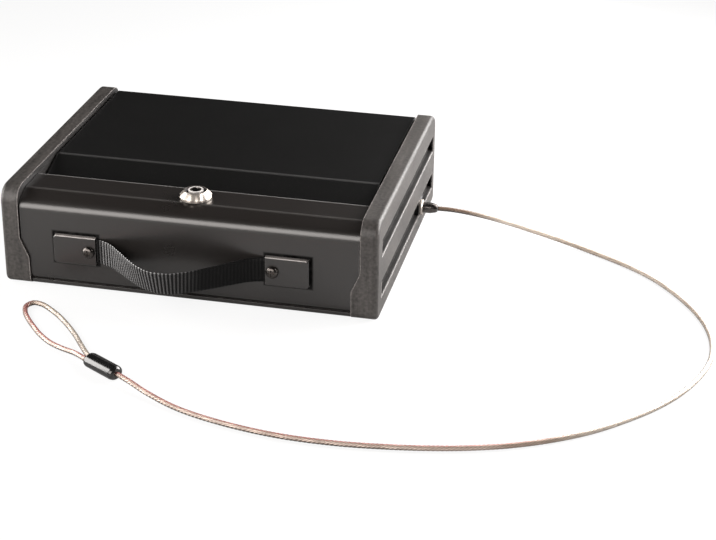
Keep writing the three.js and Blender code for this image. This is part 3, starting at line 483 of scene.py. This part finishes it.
def new_effect(name, inputs, outputs):
    """A shader node group with numbers only: the group, what goes in and what comes out."""
    tree = bpy.data.node_groups.new(name, "ShaderNodeTree")
    for label, value in inputs.items():
        socket = tree.interface.new_socket(label, in_out="INPUT", socket_type="NodeSocketFloat")
        socket.default_value = value
    for label in outputs:
        tree.interface.new_socket(label, in_out="OUTPUT", socket_type="NodeSocketFloat")
    given = tree.nodes.new("NodeGroupInput").outputs
    result = tree.nodes.new("NodeGroupOutput").inputs
    return tree, given, result


def feed(tree, socket, value):
    """Link a socket to another one, or set it to a plain value."""
    if isinstance(value, bpy.types.NodeSocket):
        tree.links.new(value, socket)
    else:
        socket.default_value = value


def split(tree, vector):
    parts = tree.nodes.new("ShaderNodeSeparateXYZ")
    tree.links.new(vector, parts.inputs["Vector"])
    return parts.outputs["X"], parts.outputs["Y"], parts.outputs["Z"]


def object_place(tree):
    """Where the shaded point lies in its piece's own frame: x, y and z in metres."""
    place = tree.nodes.new("ShaderNodeTexCoord")
    return split(tree, place.outputs["Object"])


def object_normal(tree, kind="Normal"):
    """Which way the shaded point faces in its piece's own frame: x, y and z."""
    geometry = tree.nodes.new("ShaderNodeNewGeometry")
    facing = tree.nodes.new("ShaderNodeVectorTransform")
    facing.vector_type = "NORMAL"
    facing.convert_from = "WORLD"
    facing.convert_to = "OBJECT"
    tree.links.new(geometry.outputs[kind], facing.inputs["Vector"])
    return split(tree, facing.outputs["Vector"])


def object_noise(tree, scale, detail, stretch=(1, 1, 1)):
    """Noise in object space, whose scale is in features per metre."""
    place = tree.nodes.new("ShaderNodeTexCoord")
    mapping = tree.nodes.new("ShaderNodeMapping")
    mapping.inputs["Scale"].default_value = stretch
    noise = tree.nodes.new("ShaderNodeTexNoise")
    noise.inputs["Detail"].default_value = detail
    tree.links.new(place.outputs["Object"], mapping.inputs["Vector"])
    tree.links.new(mapping.outputs["Vector"], noise.inputs["Vector"])
    feed(tree, noise.inputs["Scale"], scale)
    return noise.outputs["Factor" if "Factor" in noise.outputs else "Fac"]


def calculate(tree, operation, *values, clamp=False):
    step = tree.nodes.new("ShaderNodeMath")
    step.operation = operation
    step.use_clamp = clamp
    for socket, value in zip(step.inputs, values):
        feed(tree, socket, value)
    return step.outputs["Value"]


def product(tree, first, *others):
    for value in others:
        first = calculate(tree, "MULTIPLY", first, value)
    return first


def apart(tree, first, second):
    """How far two values lie from each other."""
    return calculate(tree, "ABSOLUTE", calculate(tree, "SUBTRACT", first, second))


def spread(tree, value, low, high, to_low=0.0, to_high=1.0):
    """Carry the range from low to high over to another one, and stop at its ends."""
    step = tree.nodes.new("ShaderNodeMapRange")
    tree.links.new(value, step.inputs["Value"])
    step.inputs["From Min"].default_value = low
    step.inputs["From Max"].default_value = high
    step.inputs["To Min"].default_value = to_low
    step.inputs["To Max"].default_value = to_high
    return step.outputs["Result"]


def between(tree, value, rise, fall):
    """A mask that rises over one range of the value and falls over another."""
    return product(tree, spread(tree, value, *rise), spread(tree, value, *fall))


def blend_colours(tree, mask, first, second):
    """The first colour where the mask is 0 and the second where it is 1."""
    step = tree.nodes.new("ShaderNodeMix")
    step.data_type = "RGBA"
    colour_sockets = [s for s in step.inputs if s.type == "RGBA"]
    tree.links.new(mask, step.inputs[0])
    for socket, value in zip(colour_sockets, (first, second)):
        feed(tree, socket, (*value, 1) if isinstance(value, tuple) else value)
    return [s for s in step.outputs if s.type == "RGBA"][0]


def powder_grain_effect():
    """Fine orange peel of powder coat: a height and a slight change of tone."""
    tree, given, result = new_effect(
        "powder_grain", {"Scale": 1500.0, "Broad Scale": 45.0, "Tone": 0.25}, ("Height", "Shade"),
    )
    broad_share = 0.7
    fine = object_noise(tree, given["Scale"], detail=2)
    broad = object_noise(tree, given["Broad Scale"], detail=3)
    mixed = calculate(tree, "MULTIPLY_ADD", broad, broad_share, product(tree, fine, 1 - broad_share))
    uneven = calculate(tree, "SUBTRACT", mixed, noise_middle)
    tree.links.new(fine, result["Height"])
    tree.links.new(calculate(tree, "MULTIPLY_ADD", uneven, given["Tone"], 1.0), result["Shade"])
    return tree


def edge_rub_and_highlight_effect():
    """A mask along edges, broken up by noise. The paler edges it gives are partly wear and partly a
    painted highlight.
    """
    tree, given, result = new_effect(
        "edge_rub_and_highlight", {"Width": 0.6 * mm, "Amount": 0.6, "Scale": 420.0}, ("Mask",),
    )
    rounded = tree.nodes.new("ShaderNodeBevel")
    rounded.samples = 4
    tree.links.new(given["Width"], rounded.inputs["Radius"])
    geometry = tree.nodes.new("ShaderNodeNewGeometry")
    agree = tree.nodes.new("ShaderNodeVectorMath")
    agree.operation = "DOT_PRODUCT"
    tree.links.new(rounded.outputs["Normal"], agree.inputs[0])
    tree.links.new(geometry.outputs["Normal"], agree.inputs[1])
    edge = spread(tree, agree.outputs["Value"], low=0.995, high=0.9)
    noise = object_noise(tree, given["Scale"], detail=4)
    broken = spread(tree, noise, low=0.42, high=0.62, to_low=0.4)
    tree.links.new(product(tree, edge, broken, given["Amount"]), result["Mask"])
    return tree


def bend_line_effect():
    """A mask along a bend that runs from side to side, on its upward faces: a paler line, partly where
    hands and keys polish the coat and partly a painted highlight.
    """
    tree, given, result = new_effect(
        "bend_line", {"Place": 0.0, "Half Width": 1.0 * mm, "Amount": 0.5, "Scale": 120.0},
        ("Mask",),
    )
    _, y, _ = object_place(tree)
    off = calculate(tree, "DIVIDE", apart(tree, y, given["Place"]), given["Half Width"])
    near = calculate(tree, "SUBTRACT", 1.0, off, clamp=True)
    _, _, upwards = object_normal(tree)
    outside = spread(tree, upwards, low=0.4, high=0.7)
    noise = object_noise(tree, given["Scale"], detail=4)
    marked = spread(tree, noise, low=0.25, high=0.6, to_low=0.8)
    tree.links.new(product(tree, near, outside, marked, given["Amount"]), result["Mask"])
    return tree


def handling_effect():
    """Broad smudges, and a little dust on what faces up."""
    tree, given, result = new_effect(
        "handling", {"Smudge": 0.1, "Dust": 0.1, "Smudge Scale": 18.0, "Dust Scale": 900.0},
        ("Smudges", "Dust"),
    )
    smudges = spread(tree, object_noise(tree, given["Smudge Scale"], detail=5), low=0.35, high=0.7)
    specks = spread(tree, object_noise(tree, given["Dust Scale"], detail=2), low=0.62, high=0.75)
    geometry = tree.nodes.new("ShaderNodeNewGeometry")
    _, _, upwards = split(tree, geometry.outputs["Normal"])
    facing_up = spread(tree, upwards, low=0.3, high=1.0)
    tree.links.new(product(tree, smudges, given["Smudge"]), result["Smudges"])
    tree.links.new(product(tree, specks, facing_up, given["Dust"]), result["Dust"])
    return tree


def moulded_grain_effect():
    """Spark-eroded grain of a moulding with faint flow streaks across it."""
    tree, given, result = new_effect(
        "moulded_grain", {"Scale": 480.0, "Streak Scale": 420.0, "Grain": 2.2, "Streaks": 1.4},
        ("Height", "Shade"),
    )
    fine = object_noise(tree, given["Scale"], detail=3)
    streaks = object_noise(tree, given["Streak Scale"], detail=3, stretch=(1, 0.06, 0.06))
    grain = product(tree, calculate(tree, "SUBTRACT", fine, noise_middle), given["Grain"])
    uneven = calculate(tree, "MULTIPLY_ADD", calculate(
        tree, "SUBTRACT", streaks, noise_middle), given["Streaks"], grain)
    tree.links.new(fine, result["Height"])
    tree.links.new(calculate(tree, "ADD", uneven, 1.0), result["Shade"])
    return tree


def groove_shade_effect():
    """A mask for the walls and floors of the long grooves in the end caps, where shade is painted."""
    tree, given, result = new_effect(
        "groove_shade",
        {"Mouth": 0.12, "Middle": 0.0, "Reach": 0.08, "Low": 6 * mm, "High": 55 * mm,
         "Amount": 0.6, "Scale": 60.0},
        ("Mask",),
    )
    x, y, z = object_place(tree)
    margins = (
        calculate(tree, "SUBTRACT", given["Mouth"], calculate(tree, "ABSOLUTE", x)),
        calculate(tree, "SUBTRACT", given["Reach"], apart(tree, y, given["Middle"])),
        calculate(tree, "SUBTRACT", z, given["Low"]),
        calculate(tree, "SUBTRACT", given["High"], z),
    )
    least = margins[0]
    for margin in margins[1:]:
        least = calculate(tree, "MINIMUM", least, margin)
    inside = spread(tree, least, low=0.0, high=0.35 * mm)
    noise = object_noise(tree, given["Scale"], detail=4)
    patchy = spread(tree, noise, low=0.2, high=0.7, to_low=0.75)
    tree.links.new(product(tree, inside, patchy, given["Amount"]), result["Mask"])
    return tree


def inner_face_shade_effect():
    """A mask for the faces of the end caps that look inwards, over the lid and the ledge, where shade is
    painted.
    """
    tree, given, result = new_effect("inner_face_shade", {"Amount": 0.75}, ("Mask",))
    x, _, _ = object_place(tree)
    facing_x, _, _ = object_normal(tree, "True Normal")
    outwards = product(tree, calculate(tree, "SIGN", x), facing_x)
    inwards = spread(tree, outwards, low=-0.85, high=-0.97)
    tree.links.new(product(tree, inwards, given["Amount"]), result["Mask"])
    return tree


def lock_recess_effect():
    """Masks of the lock from above: painted shade in its dish and key way, and a painted highlight on
    the rim of the plug.
    """
    tree, given, result = new_effect("lock_recess", {"Middle": 0.0}, ("Dark", "Rim"))
    x, y, _ = object_place(tree)
    behind = calculate(tree, "SUBTRACT", y, given["Middle"])
    from_axis = calculate(tree, "SQRT", calculate(
        tree, "MULTIPLY_ADD", behind, behind, product(tree, x, x)))
    dish = between(
        tree, from_axis, rise=(plug_radius, plug_radius + 0.15 * mm),
        fall=(dish_radius + 0.2 * mm, dish_radius - 0.05 * mm),
    )
    key_way = spread(
        tree, from_axis, low=key_way_radius + 0.1 * mm, high=key_way_radius - 0.1 * mm)
    rim = between(
        tree, from_axis, rise=(key_way_radius, key_way_radius + 0.2 * mm),
        fall=(plug_radius + 0.1 * mm, plug_radius - 0.1 * mm),
    )
    tree.links.new(calculate(tree, "MAXIMUM", dish, key_way), result["Dark"])
    tree.links.new(rim, result["Rim"])
    return tree


def plate_rim_effect():
    """Masks round the handle plates: a painted shadow line on the case, and a painted highlight on the
    plates' top edge.
    """
    tree, given, result = new_effect(
        "plate_rim",
        {"Middle": 0.0, "Across": 0.0, "Height": 0.0, "Half Width": 10 * mm,
         "Half Height": 10 * mm, "Scale": 200.0},
        ("Shadow", "Highlight"),
    )
    x, y, z = object_place(tree)
    sideways = calculate(tree, "SUBTRACT", apart(
        tree, apart(tree, x, given["Middle"]), given["Across"]), given["Half Width"])
    upwards = calculate(
        tree, "SUBTRACT", apart(tree, z, given["Height"]), given["Half Height"])
    away = calculate(tree, "MAXIMUM", sideways, upwards)
    noise = object_noise(tree, given["Scale"], detail=3)
    marked = spread(tree, noise, low=0.3, high=0.7, to_low=0.7)
    line = between(tree, away, rise=(-0.25 * mm, -0.05 * mm), fall=(2.3 * mm, 1.1 * mm))
    on_case = spread(tree, y, low=shell_front + 3 * mm, high=shell_front + 1 * mm)
    top = calculate(tree, "ADD", given["Height"], given["Half Height"])
    below_top = calculate(tree, "SUBTRACT", top, z)
    on_edge = spread(tree, below_top, low=0.8 * mm, high=0.4 * mm)
    on_plate = spread(tree, y, low=shell_front - 0.3 * mm, high=shell_front - 0.8 * mm)
    tree.links.new(product(tree, line, on_case, marked), result["Shadow"])
    tree.links.new(product(tree, on_edge, on_plate, marked), result["Highlight"])
    return tree


# Settings of a finish that are even all over it, and their sockets
uniform_sockets = {
    "roughness": "Roughness", "metallic": "Metallic", "gloss": "Specular IOR Level",
    "sheen": "Sheen Weight", "coat": "Coat Weight", "coat_roughness": "Coat Roughness",
}


class Finish:
    """A material with one Principled BSDF and small helpers to wire it."""

    def __init__(self, name, colour, **uniform):
        self.name = name
        self.material = bpy.data.materials.new(name)
        self.material.use_nodes = True
        self.tree = self.material.node_tree
        self.shader = self.tree.nodes["Principled BSDF"]
        self.colour = (*colour, 1)
        self.shader.inputs["Base Color"].default_value = self.colour
        for label, value in uniform.items():
            self.shader.inputs[uniform_sockets[label]].default_value = value

    def effect(self, group, **values):
        placed = self.tree.nodes.new("ShaderNodeGroup")
        placed.node_tree = group
        for label, value in values.items():
            placed.inputs[label].default_value = value
        return placed.outputs

    def shade(self, factor, colour=None):
        """A colour, or else the finish's own, times a factor that changes over the surface."""
        scale = self.tree.nodes.new("ShaderNodeVectorMath")
        scale.operation = "SCALE"
        feed(self.tree, scale.inputs[0], self.colour[:3] if colour is None else colour)
        feed(self.tree, scale.inputs["Scale"], factor)
        return scale.outputs["Vector"]

    def paint(self, colour):
        self.tree.links.new(colour, self.shader.inputs["Base Color"])

    def roughen(self, value):
        self.tree.links.new(value, self.shader.inputs["Roughness"])

    def metallise(self, value):
        self.tree.links.new(value, self.shader.inputs["Metallic"])

    def bump(self, height, distance):
        bump = self.tree.nodes.new("ShaderNodeBump")
        bump.inputs["Distance"].default_value = distance
        self.tree.links.new(height, bump.inputs["Height"])
        self.tree.links.new(bump.outputs["Normal"], self.shader.inputs["Normal"])


def make_effects():
    return {
        "powder_grain": powder_grain_effect(),
        "edge_rub_and_highlight": edge_rub_and_highlight_effect(),
        "bend_line": bend_line_effect(),
        "handling": handling_effect(),
        "moulded_grain": moulded_grain_effect(),
        "groove_shade": groove_shade_effect(),
        "inner_face_shade": inner_face_shade_effect(),
        "lock_recess": lock_recess_effect(),
        "plate_rim": plate_rim_effect(),
    }


def frame_plates(finish, effects, colour, rough):
    """Painted shadow on the case round the handle plates, and a painted highlight on their top edges."""
    plate_low, plate_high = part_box("right_handle_plate")
    strap_low, strap_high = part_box("handle_strap")
    strap_middle = (strap_low.x + strap_high.x) / 2
    rim = finish.effect(effects["plate_rim"], **{
        "Middle": strap_middle, "Across": (plate_low.x + plate_high.x) / 2 - strap_middle,
        "Height": (plate_low.z + plate_high.z) / 2,
        "Half Width": (plate_high.x - plate_low.x) / 2,
        "Half Height": (plate_high.z - plate_low.z) / 2,
    })
    shadow_roughens = 0.6
    # Painted shadow round the plates, then a painted highlight on their top edges
    shadowed = blend_colours(finish.tree, rim["Shadow"], colour, plate_painted_shadow)
    pale_edges = blend_colours(finish.tree, rim["Highlight"], shadowed, plate_edge_highlight)
    # Metallic keeps the painted shadow line free of diffuse light, so it stays dark
    finish.metallise(rim["Shadow"])
    return pale_edges, calculate(finish.tree, "MULTIPLY_ADD", rim["Shadow"], shadow_roughens, rough)


def paint_finish(name, colour, rub_and_highlight_colour, roughness, gloss, bends, grain, effects, plates=False):
    """Powder coat over steel, a little paler at its edges and bends: partly wear and partly a painted
    highlight.
    """
    finish = Finish(name, colour, roughness=roughness, gloss=gloss)
    powder = finish.effect(effects["powder_grain"])
    handled = finish.effect(effects["handling"], Smudge=0.03, Dust=0.05)
    dusty = blend_colours(finish.tree, handled["Dust"], finish.shade(powder["Shade"]), paint_dust)
    # Pale edges: partly wear, partly a painted highlight
    pale_edges = finish.effect(effects["edge_rub_and_highlight"])["Mask"]
    for place, half_width, amount in bends:
        line = finish.effect(
            effects["bend_line"], **{"Place": place, "Half Width": half_width, "Amount": amount})
        pale_edges = calculate(finish.tree, "MAXIMUM", pale_edges, line["Mask"])
    # Paler edges and bend lines: partly wear, partly painted highlight
    marked = blend_colours(finish.tree, pale_edges, dusty, rub_and_highlight_colour)
    rough = calculate(finish.tree, "ADD", handled["Smudges"], roughness)
    if plates:
        marked, rough = frame_plates(finish, effects, marked, rough)
    finish.paint(marked)
    finish.roughen(rough)
    finish.bump(powder["Height"], grain)
    return finish


def cap_finish(effects):
    """Grained black moulding with pale edges, partly wear and partly a painted highlight, and painted
    shade in its grooves and on its faces that look inwards.
    """
    caps = Finish("cap_plastic", cap_moulding, roughness=0.5)
    grain = caps.effect(effects["moulded_grain"])
    handled = caps.effect(effects["handling"], Smudge=0.1, Dust=0.08)
    # Pale edges: partly wear, partly a painted highlight
    rub_and_highlight = caps.effect(effects["edge_rub_and_highlight"], Width=1.1 * mm, Amount=0.8)["Mask"]
    # Painted shade in the grooves
    groove_shading = caps.effect(
        effects["groove_shade"], Mouth=cap_face_x - 0.35 * mm, Middle=case_middle_y,
        Reach=cap_half_depth - 7 * mm, High=case_height - 8 * mm, Amount=0.96,
    )["Mask"]
    # Painted shade on the faces that look inwards
    inner_shade = caps.effect(effects["inner_face_shade"])["Mask"]
    dusty = blend_colours(caps.tree, handled["Dust"], caps.shade(grain["Shade"]), cap_dust)
    # Painted shade: the grooves and the faces that look inwards are darkened
    painted_shade = calculate(caps.tree, "MAXIMUM", groove_shading, inner_shade)
    shaded = blend_colours(caps.tree, painted_shade, dusty, cap_painted_shade)
    unshaded = calculate(caps.tree, "SUBTRACT", 1.0, groove_shading)
    groove_shading_absorbs = 0.55
    groove_shading_roughens = 0.3
    unshaded_roughness = 0.44
    caps.paint(blend_colours(caps.tree, product(caps.tree, rub_and_highlight, unshaded), shaded, cap_rub_and_highlight))
    # Metallic in the grooves takes away their diffuse light, deepening the painted shade
    caps.metallise(product(caps.tree, groove_shading, groove_shading_absorbs))
    caps.roughen(calculate(caps.tree, "MULTIPLY_ADD", groove_shading, groove_shading_roughens, calculate(
        caps.tree, "ADD", handled["Smudges"], unshaded_roughness)))
    caps.bump(grain["Height"], 0.06 * mm)
    return caps


def felt_finish():
    felt = Finish("liner_foam", felt_grey, roughness=0.95, sheen=0.4)
    fibres = object_noise(felt.tree, 1400, detail=4, stretch=(1, 0.4, 1))
    felt.paint(felt.shade(spread(felt.tree, fibres, low=0.3, high=0.7, to_low=0.6, to_high=1.6)))
    felt.bump(fibres, 0.25 * mm)
    return felt


def metal_finish(name, colour, roughness, effects, lock=False):
    """Plated metal with fine scratches and finger marks."""
    metal = Finish(name, colour, metallic=1.0, roughness=roughness)
    handled = metal.effect(effects["handling"], Smudge=0.12, Dust=0.0)
    scratch = object_noise(metal.tree, 700, detail=3, stretch=(1, 1, 0.15))
    scratched = metal.shade(
        spread(metal.tree, scratch, low=0.3, high=0.7, to_low=0.88, to_high=1.08))
    if lock:
        plug_low, plug_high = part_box("lock_plug")
        # Painted shade in the dish and key way, and a painted highlight on the plug's rim
        recess = metal.effect(effects["lock_recess"], Middle=(plug_low.y + plug_high.y) / 2)
        dish_shaded = blend_colours(metal.tree, recess["Dark"], scratched, lock_shade)
        scratched = blend_colours(metal.tree, recess["Rim"], dish_shaded, plug_rim_highlight)
        # Less metallic on the plug's rim lets its painted highlight show
        metal.metallise(spread(metal.tree, recess["Rim"], low=0, high=1, to_low=1.0, to_high=0.35))
    metal.paint(scratched)
    metal.roughen(calculate(metal.tree, "ADD", handled["Smudges"], roughness))
    metal.bump(scratch, 0.01 * mm)
    return metal


def ferrule_finish(effects):
    """Glossy black plastic of the crimp ferrule and the cable grommet."""
    ferrule = Finish("black_plastic", ferrule_black, roughness=0.14, gloss=1.0)
    handled = ferrule.effect(effects["handling"], Smudge=0.1, Dust=0.03)
    fine = object_noise(ferrule.tree, 500, detail=2)
    shine = 0.12
    ferrule.paint(ferrule.shade(
        spread(ferrule.tree, fine, low=0.3, high=0.7, to_low=0.8, to_high=1.3)))
    ferrule.roughen(calculate(ferrule.tree, "ADD", handled["Smudges"], shine))
    ferrule.bump(fine, 0.03 * mm)
    return ferrule


def webbing_finish(length):
    """Black nylon webbing: each rib is crossed by fine warp ends. Painted highlight on the rib crests
    and the top edge, painted shade between the ribs and next to the plates, and the left half painted
    lighter and the right half darker.
    """
    web = Finish("webbing", web_black, roughness=0.42, gloss=0.2)
    tree = web.tree
    place = tree.nodes.new("ShaderNodeUVMap")
    across, along, _ = split(tree, place.outputs["UV"])
    warp = calculate(tree, "SINE", product(tree, across, 4 * math.pi))
    weft = calculate(tree, "COSINE", product(tree, along, 2 * math.pi))
    warp_share = 0.3
    weft_share = -0.9
    woven = calculate(tree, "MULTIPLY_ADD", warp, warp_share, product(tree, weft, weft_share))
    height = calculate(tree, "ADD", woven, object_noise(tree, 2600, detail=3))
    # Painted highlight on the rib crests and painted shade between the ribs
    rib_light_and_shade = spread(tree, height, low=0.1, high=1.5, to_low=0.04, to_high=4.6)
    ring_points = 2 * (strap_points_across + 1)
    top_edge = strap_width / strap_rib_pitch * (1 - 1 / ring_points)
    # Painted highlight along the strap's top edge
    selvage_highlight = spread(
        tree, apart(tree, across, top_edge), low=0.5, high=0.2, to_low=1.0, to_high=3.5)
    rows = length / strap_rib_pitch
    covered = strap_tuck / strap_rib_pitch
    from_end = calculate(tree, "MINIMUM", along, calculate(tree, "SUBTRACT", rows, along))
    # Painted shadow on the strap next to the plates, where they shade it
    ends = spread(tree, from_end, low=covered + 0.8, high=covered + 2, to_low=0.12)
    # Painted light and shade: the left half of the strap lighter, the right half darker
    side_light_and_shade = spread(
        tree, along, low=0.28 * rows, high=0.64 * rows, to_low=3.2, to_high=0.05)
    web.paint(web.shade(product(tree, rib_light_and_shade, selvage_highlight, ends, side_light_and_shade)))
    web.bump(height, 0.12 * mm)
    return web


def rope_wires(tree, around, along):
    """Fine wires over the strands: their height, and a painted shade, darker in the grooves between
    strands and lighter and darker along the wires.
    """
    strand = calculate(tree, "COSINE", product(tree, around, rope_strands * math.pi))
    counter = calculate(tree, "MULTIPLY_ADD", around, 4 * math.pi * rope_strands, product(
        tree, along, 14 * math.pi))
    wires = calculate(tree, "SINE", counter)
    # Painted shade in the grooves between strands, and painted light and shade along the wires
    grooves = spread(
        tree, calculate(tree, "ABSOLUTE", strand), low=0.0, high=0.55, to_low=0.5)
    bright = spread(tree, wires, low=-1, high=1, to_low=0.75, to_high=1.15)
    return wires, product(tree, grooves, bright)


def rose_reflection_mask(tree, x, along, rear_facing):
    """A painted rose reflection: on the rear side of the run's last stretch and of the loop's return."""
    in_loop = spread(tree, x, low=-19 * mm, high=-21 * mm)
    returning = product(tree, in_loop, spread(tree, along, low=5.4, high=6.6))
    in_run = calculate(tree, "SUBTRACT", 1.0, in_loop)
    ending = product(tree, in_run, spread(tree, along, low=26, high=31))
    rear_side = spread(tree, rear_facing, low=-0.45, high=0.0, to_low=0.12, to_high=0.95)
    return product(tree, calculate(tree, "MAXIMUM", returning, ending), rear_side)


def rope_finish():
    """Galvanised strands under a clear coat, browner near the fitting, with a painted rose reflection on
    one stretch and painted shade in the strand grooves, towards the outline and underneath.
    """
    rope = Finish(
        "wire_rope", rope_pale, metallic=0.3, roughness=0.34, coat=0.8, coat_roughness=0.12)
    tree = rope.tree
    uv = tree.nodes.new("ShaderNodeUVMap")
    around, along, _ = split(tree, uv.outputs["UV"])
    wires, wired = rope_wires(tree, around, along)
    x, y, _ = object_place(tree)
    _, rear_facing, upwards = object_normal(tree)
    patches = spread(tree, object_noise(tree, 14, detail=2), low=0.4, high=0.6)
    near_fitting = spread(tree, x, low=150 * mm, high=180 * mm)
    greyed = blend_colours(tree, patches, rope_pale, rope_grey)
    brown = blend_colours(tree, near_fitting, rope_brown, greyed)
    run = blend_colours(tree, spread(tree, y, low=0.0, high=-60 * mm), brown, greyed)
    # Painted rose reflection on the rear side of two stretches
    rose = blend_colours(tree, rose_reflection_mask(tree, x, along, rear_facing), run, rope_rose_reflection)
    # Painted shade towards the rope's outline as seen, where its surface turns away from the view
    edge = tree.nodes.new("ShaderNodeLayerWeight")
    edge.inputs["Blend"].default_value = 0.5
    outline_shade_mask = spread(tree, edge.outputs["Facing"], low=0.35, high=0.85)
    outline_shade_factor = 0.42
    outline_shaded = blend_colours(tree, outline_shade_mask, rose, rope.shade(outline_shade_factor, rose))
    # Painted shade on the rope's downward-facing side, deeper on part of its length
    underside_shade = spread(tree, upwards, low=0.3, high=-0.15)
    underside_shade_depth = spread(tree, near_fitting, low=0.0, high=1.0, to_low=0.75, to_high=0.2)
    lit = calculate(tree, "SUBTRACT", 1.0, product(tree, underside_shade, underside_shade_depth))
    rope.paint(rope.shade(product(tree, wired, lit), outline_shaded))
    rope.bump(wires, 0.05 * mm)
    return rope


def make_finishes(length_of_strap):
    effects = make_effects()
    # Paler lines along the ledge's rear edge, the ledge's crease and the lid's crease: partly polished
    # coat, partly painted highlight
    case_bends = [
        (ledge_edge_y - 2.3 * mm, 1.2 * mm, 1.0),
        (ledge_crease_y, 1.5 * mm, 0.16),
    ]
    lid_bends = [(lid_crease_y, 1.7 * mm, 0.45)]
    made = (
        paint_finish("case_paint", case_coat, case_rub_and_highlight, roughness=0.27, gloss=1.0,
                     bends=case_bends, grain=0.03 * mm, effects=effects, plates=True),
        paint_finish("lid_paint", lid_coat, lid_rub_and_highlight, roughness=0.3, gloss=0.22,
                     bends=lid_bends, grain=0.02 * mm, effects=effects),
        cap_finish(effects),
        felt_finish(),
        metal_finish("chrome", chrome_bright, roughness=0.38, effects=effects, lock=True),
        metal_finish("zinc", zinc_grey, roughness=0.32, effects=effects),
        metal_finish("dark_steel", blued_steel, roughness=0.2, effects=effects),
        ferrule_finish(effects),
        webbing_finish(length_of_strap),
        rope_finish(),
    )
    return {finish.name: finish for finish in made}


def dress(finishes, pieces):
    for part in frame["record"]["subparts"]:
        piece = nodes[part["node"]]
        piece.data.materials.clear()
        piece.data.materials.append(finishes[part["material_slot"]].material)
    for piece, slot in pieces:
        piece.data.materials.append(finishes[slot].material)


# Studio


def soft_box(aim, name, azimuth, elevation, distance, size, power, colour):
    """An area lamp that faces the aim and that the camera doesn't see."""
    lamp = bpy.data.lights.new(name, "AREA")
    lamp.shape = "RECTANGLE"
    lamp.size, lamp.size_y = size
    lamp.energy = power
    lamp.color = colour
    around = math.radians(azimuth)
    rise = math.radians(elevation)
    away = Vector((
        math.sin(around) * math.cos(rise), -math.cos(around) * math.cos(rise), math.sin(rise),
    ))
    light = bpy.data.objects.new(name, lamp)
    light.location = aim + away * distance
    light.rotation_mode = "QUATERNION"
    light.rotation_quaternion = away.to_track_quat("Z", "Y")
    light.visible_camera = False
    bpy.context.scene.collection.objects.link(light)


def mirrored_rays(tree, path):
    return calculate(
        tree, "MAXIMUM", path.outputs["Is Glossy Ray"], path.outputs["Is Transmission Ray"])


def make_floor():
    """A pale floor that glows white to the camera, and less to whatever mirrors it."""
    half = floor_half
    mesh = bpy.data.meshes.new("floor")
    mesh.from_pydata(
        [(-half, -half, 0), (half, -half, 0), (half, half, 0), (-half, half, 0)], [],
        [(0, 1, 2, 3)],
    )
    floor = bpy.data.objects.new("floor", mesh)
    bpy.context.scene.collection.objects.link(floor)
    floor.location.z = -floor_drop
    material = bpy.data.materials.new("pale_floor")
    material.use_nodes = True
    tree = material.node_tree
    shader = tree.nodes["Principled BSDF"]
    shader.inputs["Base Color"].default_value = (0.86, 0.86, 0.86, 1)
    shader.inputs["Roughness"].default_value = 0.9
    shader.inputs["Specular IOR Level"].default_value = 0.0
    glow = tree.nodes.new("ShaderNodeEmission")
    path = tree.nodes.new("ShaderNodeLightPath")
    mirrored = mirrored_rays(tree, path)
    share_to_camera = 0.87
    share_to_mirrors = 0.7
    dimmer_to_mirrors = -0.78
    share = calculate(
        tree, "MULTIPLY_ADD", path.outputs["Is Camera Ray"], share_to_camera,
        product(tree, mirrored, share_to_mirrors),
    )
    strength = calculate(tree, "MULTIPLY_ADD", mirrored, dimmer_to_mirrors, 1.0)
    tree.links.new(strength, glow.inputs["Strength"])
    mix = tree.nodes.new("ShaderNodeMixShader")
    tree.links.new(share, mix.inputs["Fac"])
    tree.links.new(shader.outputs["BSDF"], mix.inputs[1])
    tree.links.new(glow.outputs["Emission"], mix.inputs[2])
    tree.links.new(mix.outputs["Shader"], tree.nodes["Material Output"].inputs["Surface"])
    mesh.materials.append(material)


def make_world():
    """White to the camera, a dim glow that fades upwards to mirrors, and a weak fill to the rest."""
    world = bpy.data.worlds.new("studio")
    bpy.context.scene.world = world
    world.use_nodes = True
    tree = world.node_tree
    background = tree.nodes["Background"]
    place = tree.nodes.new("ShaderNodeTexCoord")
    _, _, upwards = split(tree, place.outputs["Generated"])
    glow = spread(tree, upwards, low=0.1, high=0.75, to_low=0.04, to_high=0.01)
    path = tree.nodes.new("ShaderNodeLightPath")
    to_camera = path.outputs["Is Camera Ray"]
    mirrored = mirrored_rays(tree, path)
    to_rest = calculate(tree, "SUBTRACT", 1.0, calculate(tree, "MAXIMUM", mirrored, to_camera))
    fill_strength = 0.03
    fill = calculate(
        tree, "MULTIPLY_ADD", to_rest, fill_strength, product(tree, mirrored, glow))
    tree.links.new(calculate(tree, "MAXIMUM", fill, to_camera), background.inputs["Strength"])
    background.inputs["Color"].default_value = (1, 1, 1, 1)


def make_studio():
    aim = case_shift + Vector((0, 0, case_height / 2))
    for lamp in soft_boxes:
        soft_box(aim, *lamp)
    make_floor()
    make_world()


make_camera()
cable, loop = make_tether()
strap, strap_length = make_strap()
base_liner = make_liner("base_felt", "base_liner", "case")
lid_liner = make_liner("lid_felt", "lid_liner", "lid")
finishes = make_finishes(strap_length)
dress(finishes, [
    (cable, "wire_rope"), (loop, "wire_rope"), (strap, "webbing"),
    (base_liner, "liner_foam"), (lid_liner, "liner_foam"),
])
soften_cad_nodes()
make_studio()
bpy.context.scene.view_settings.view_transform = "Standard"
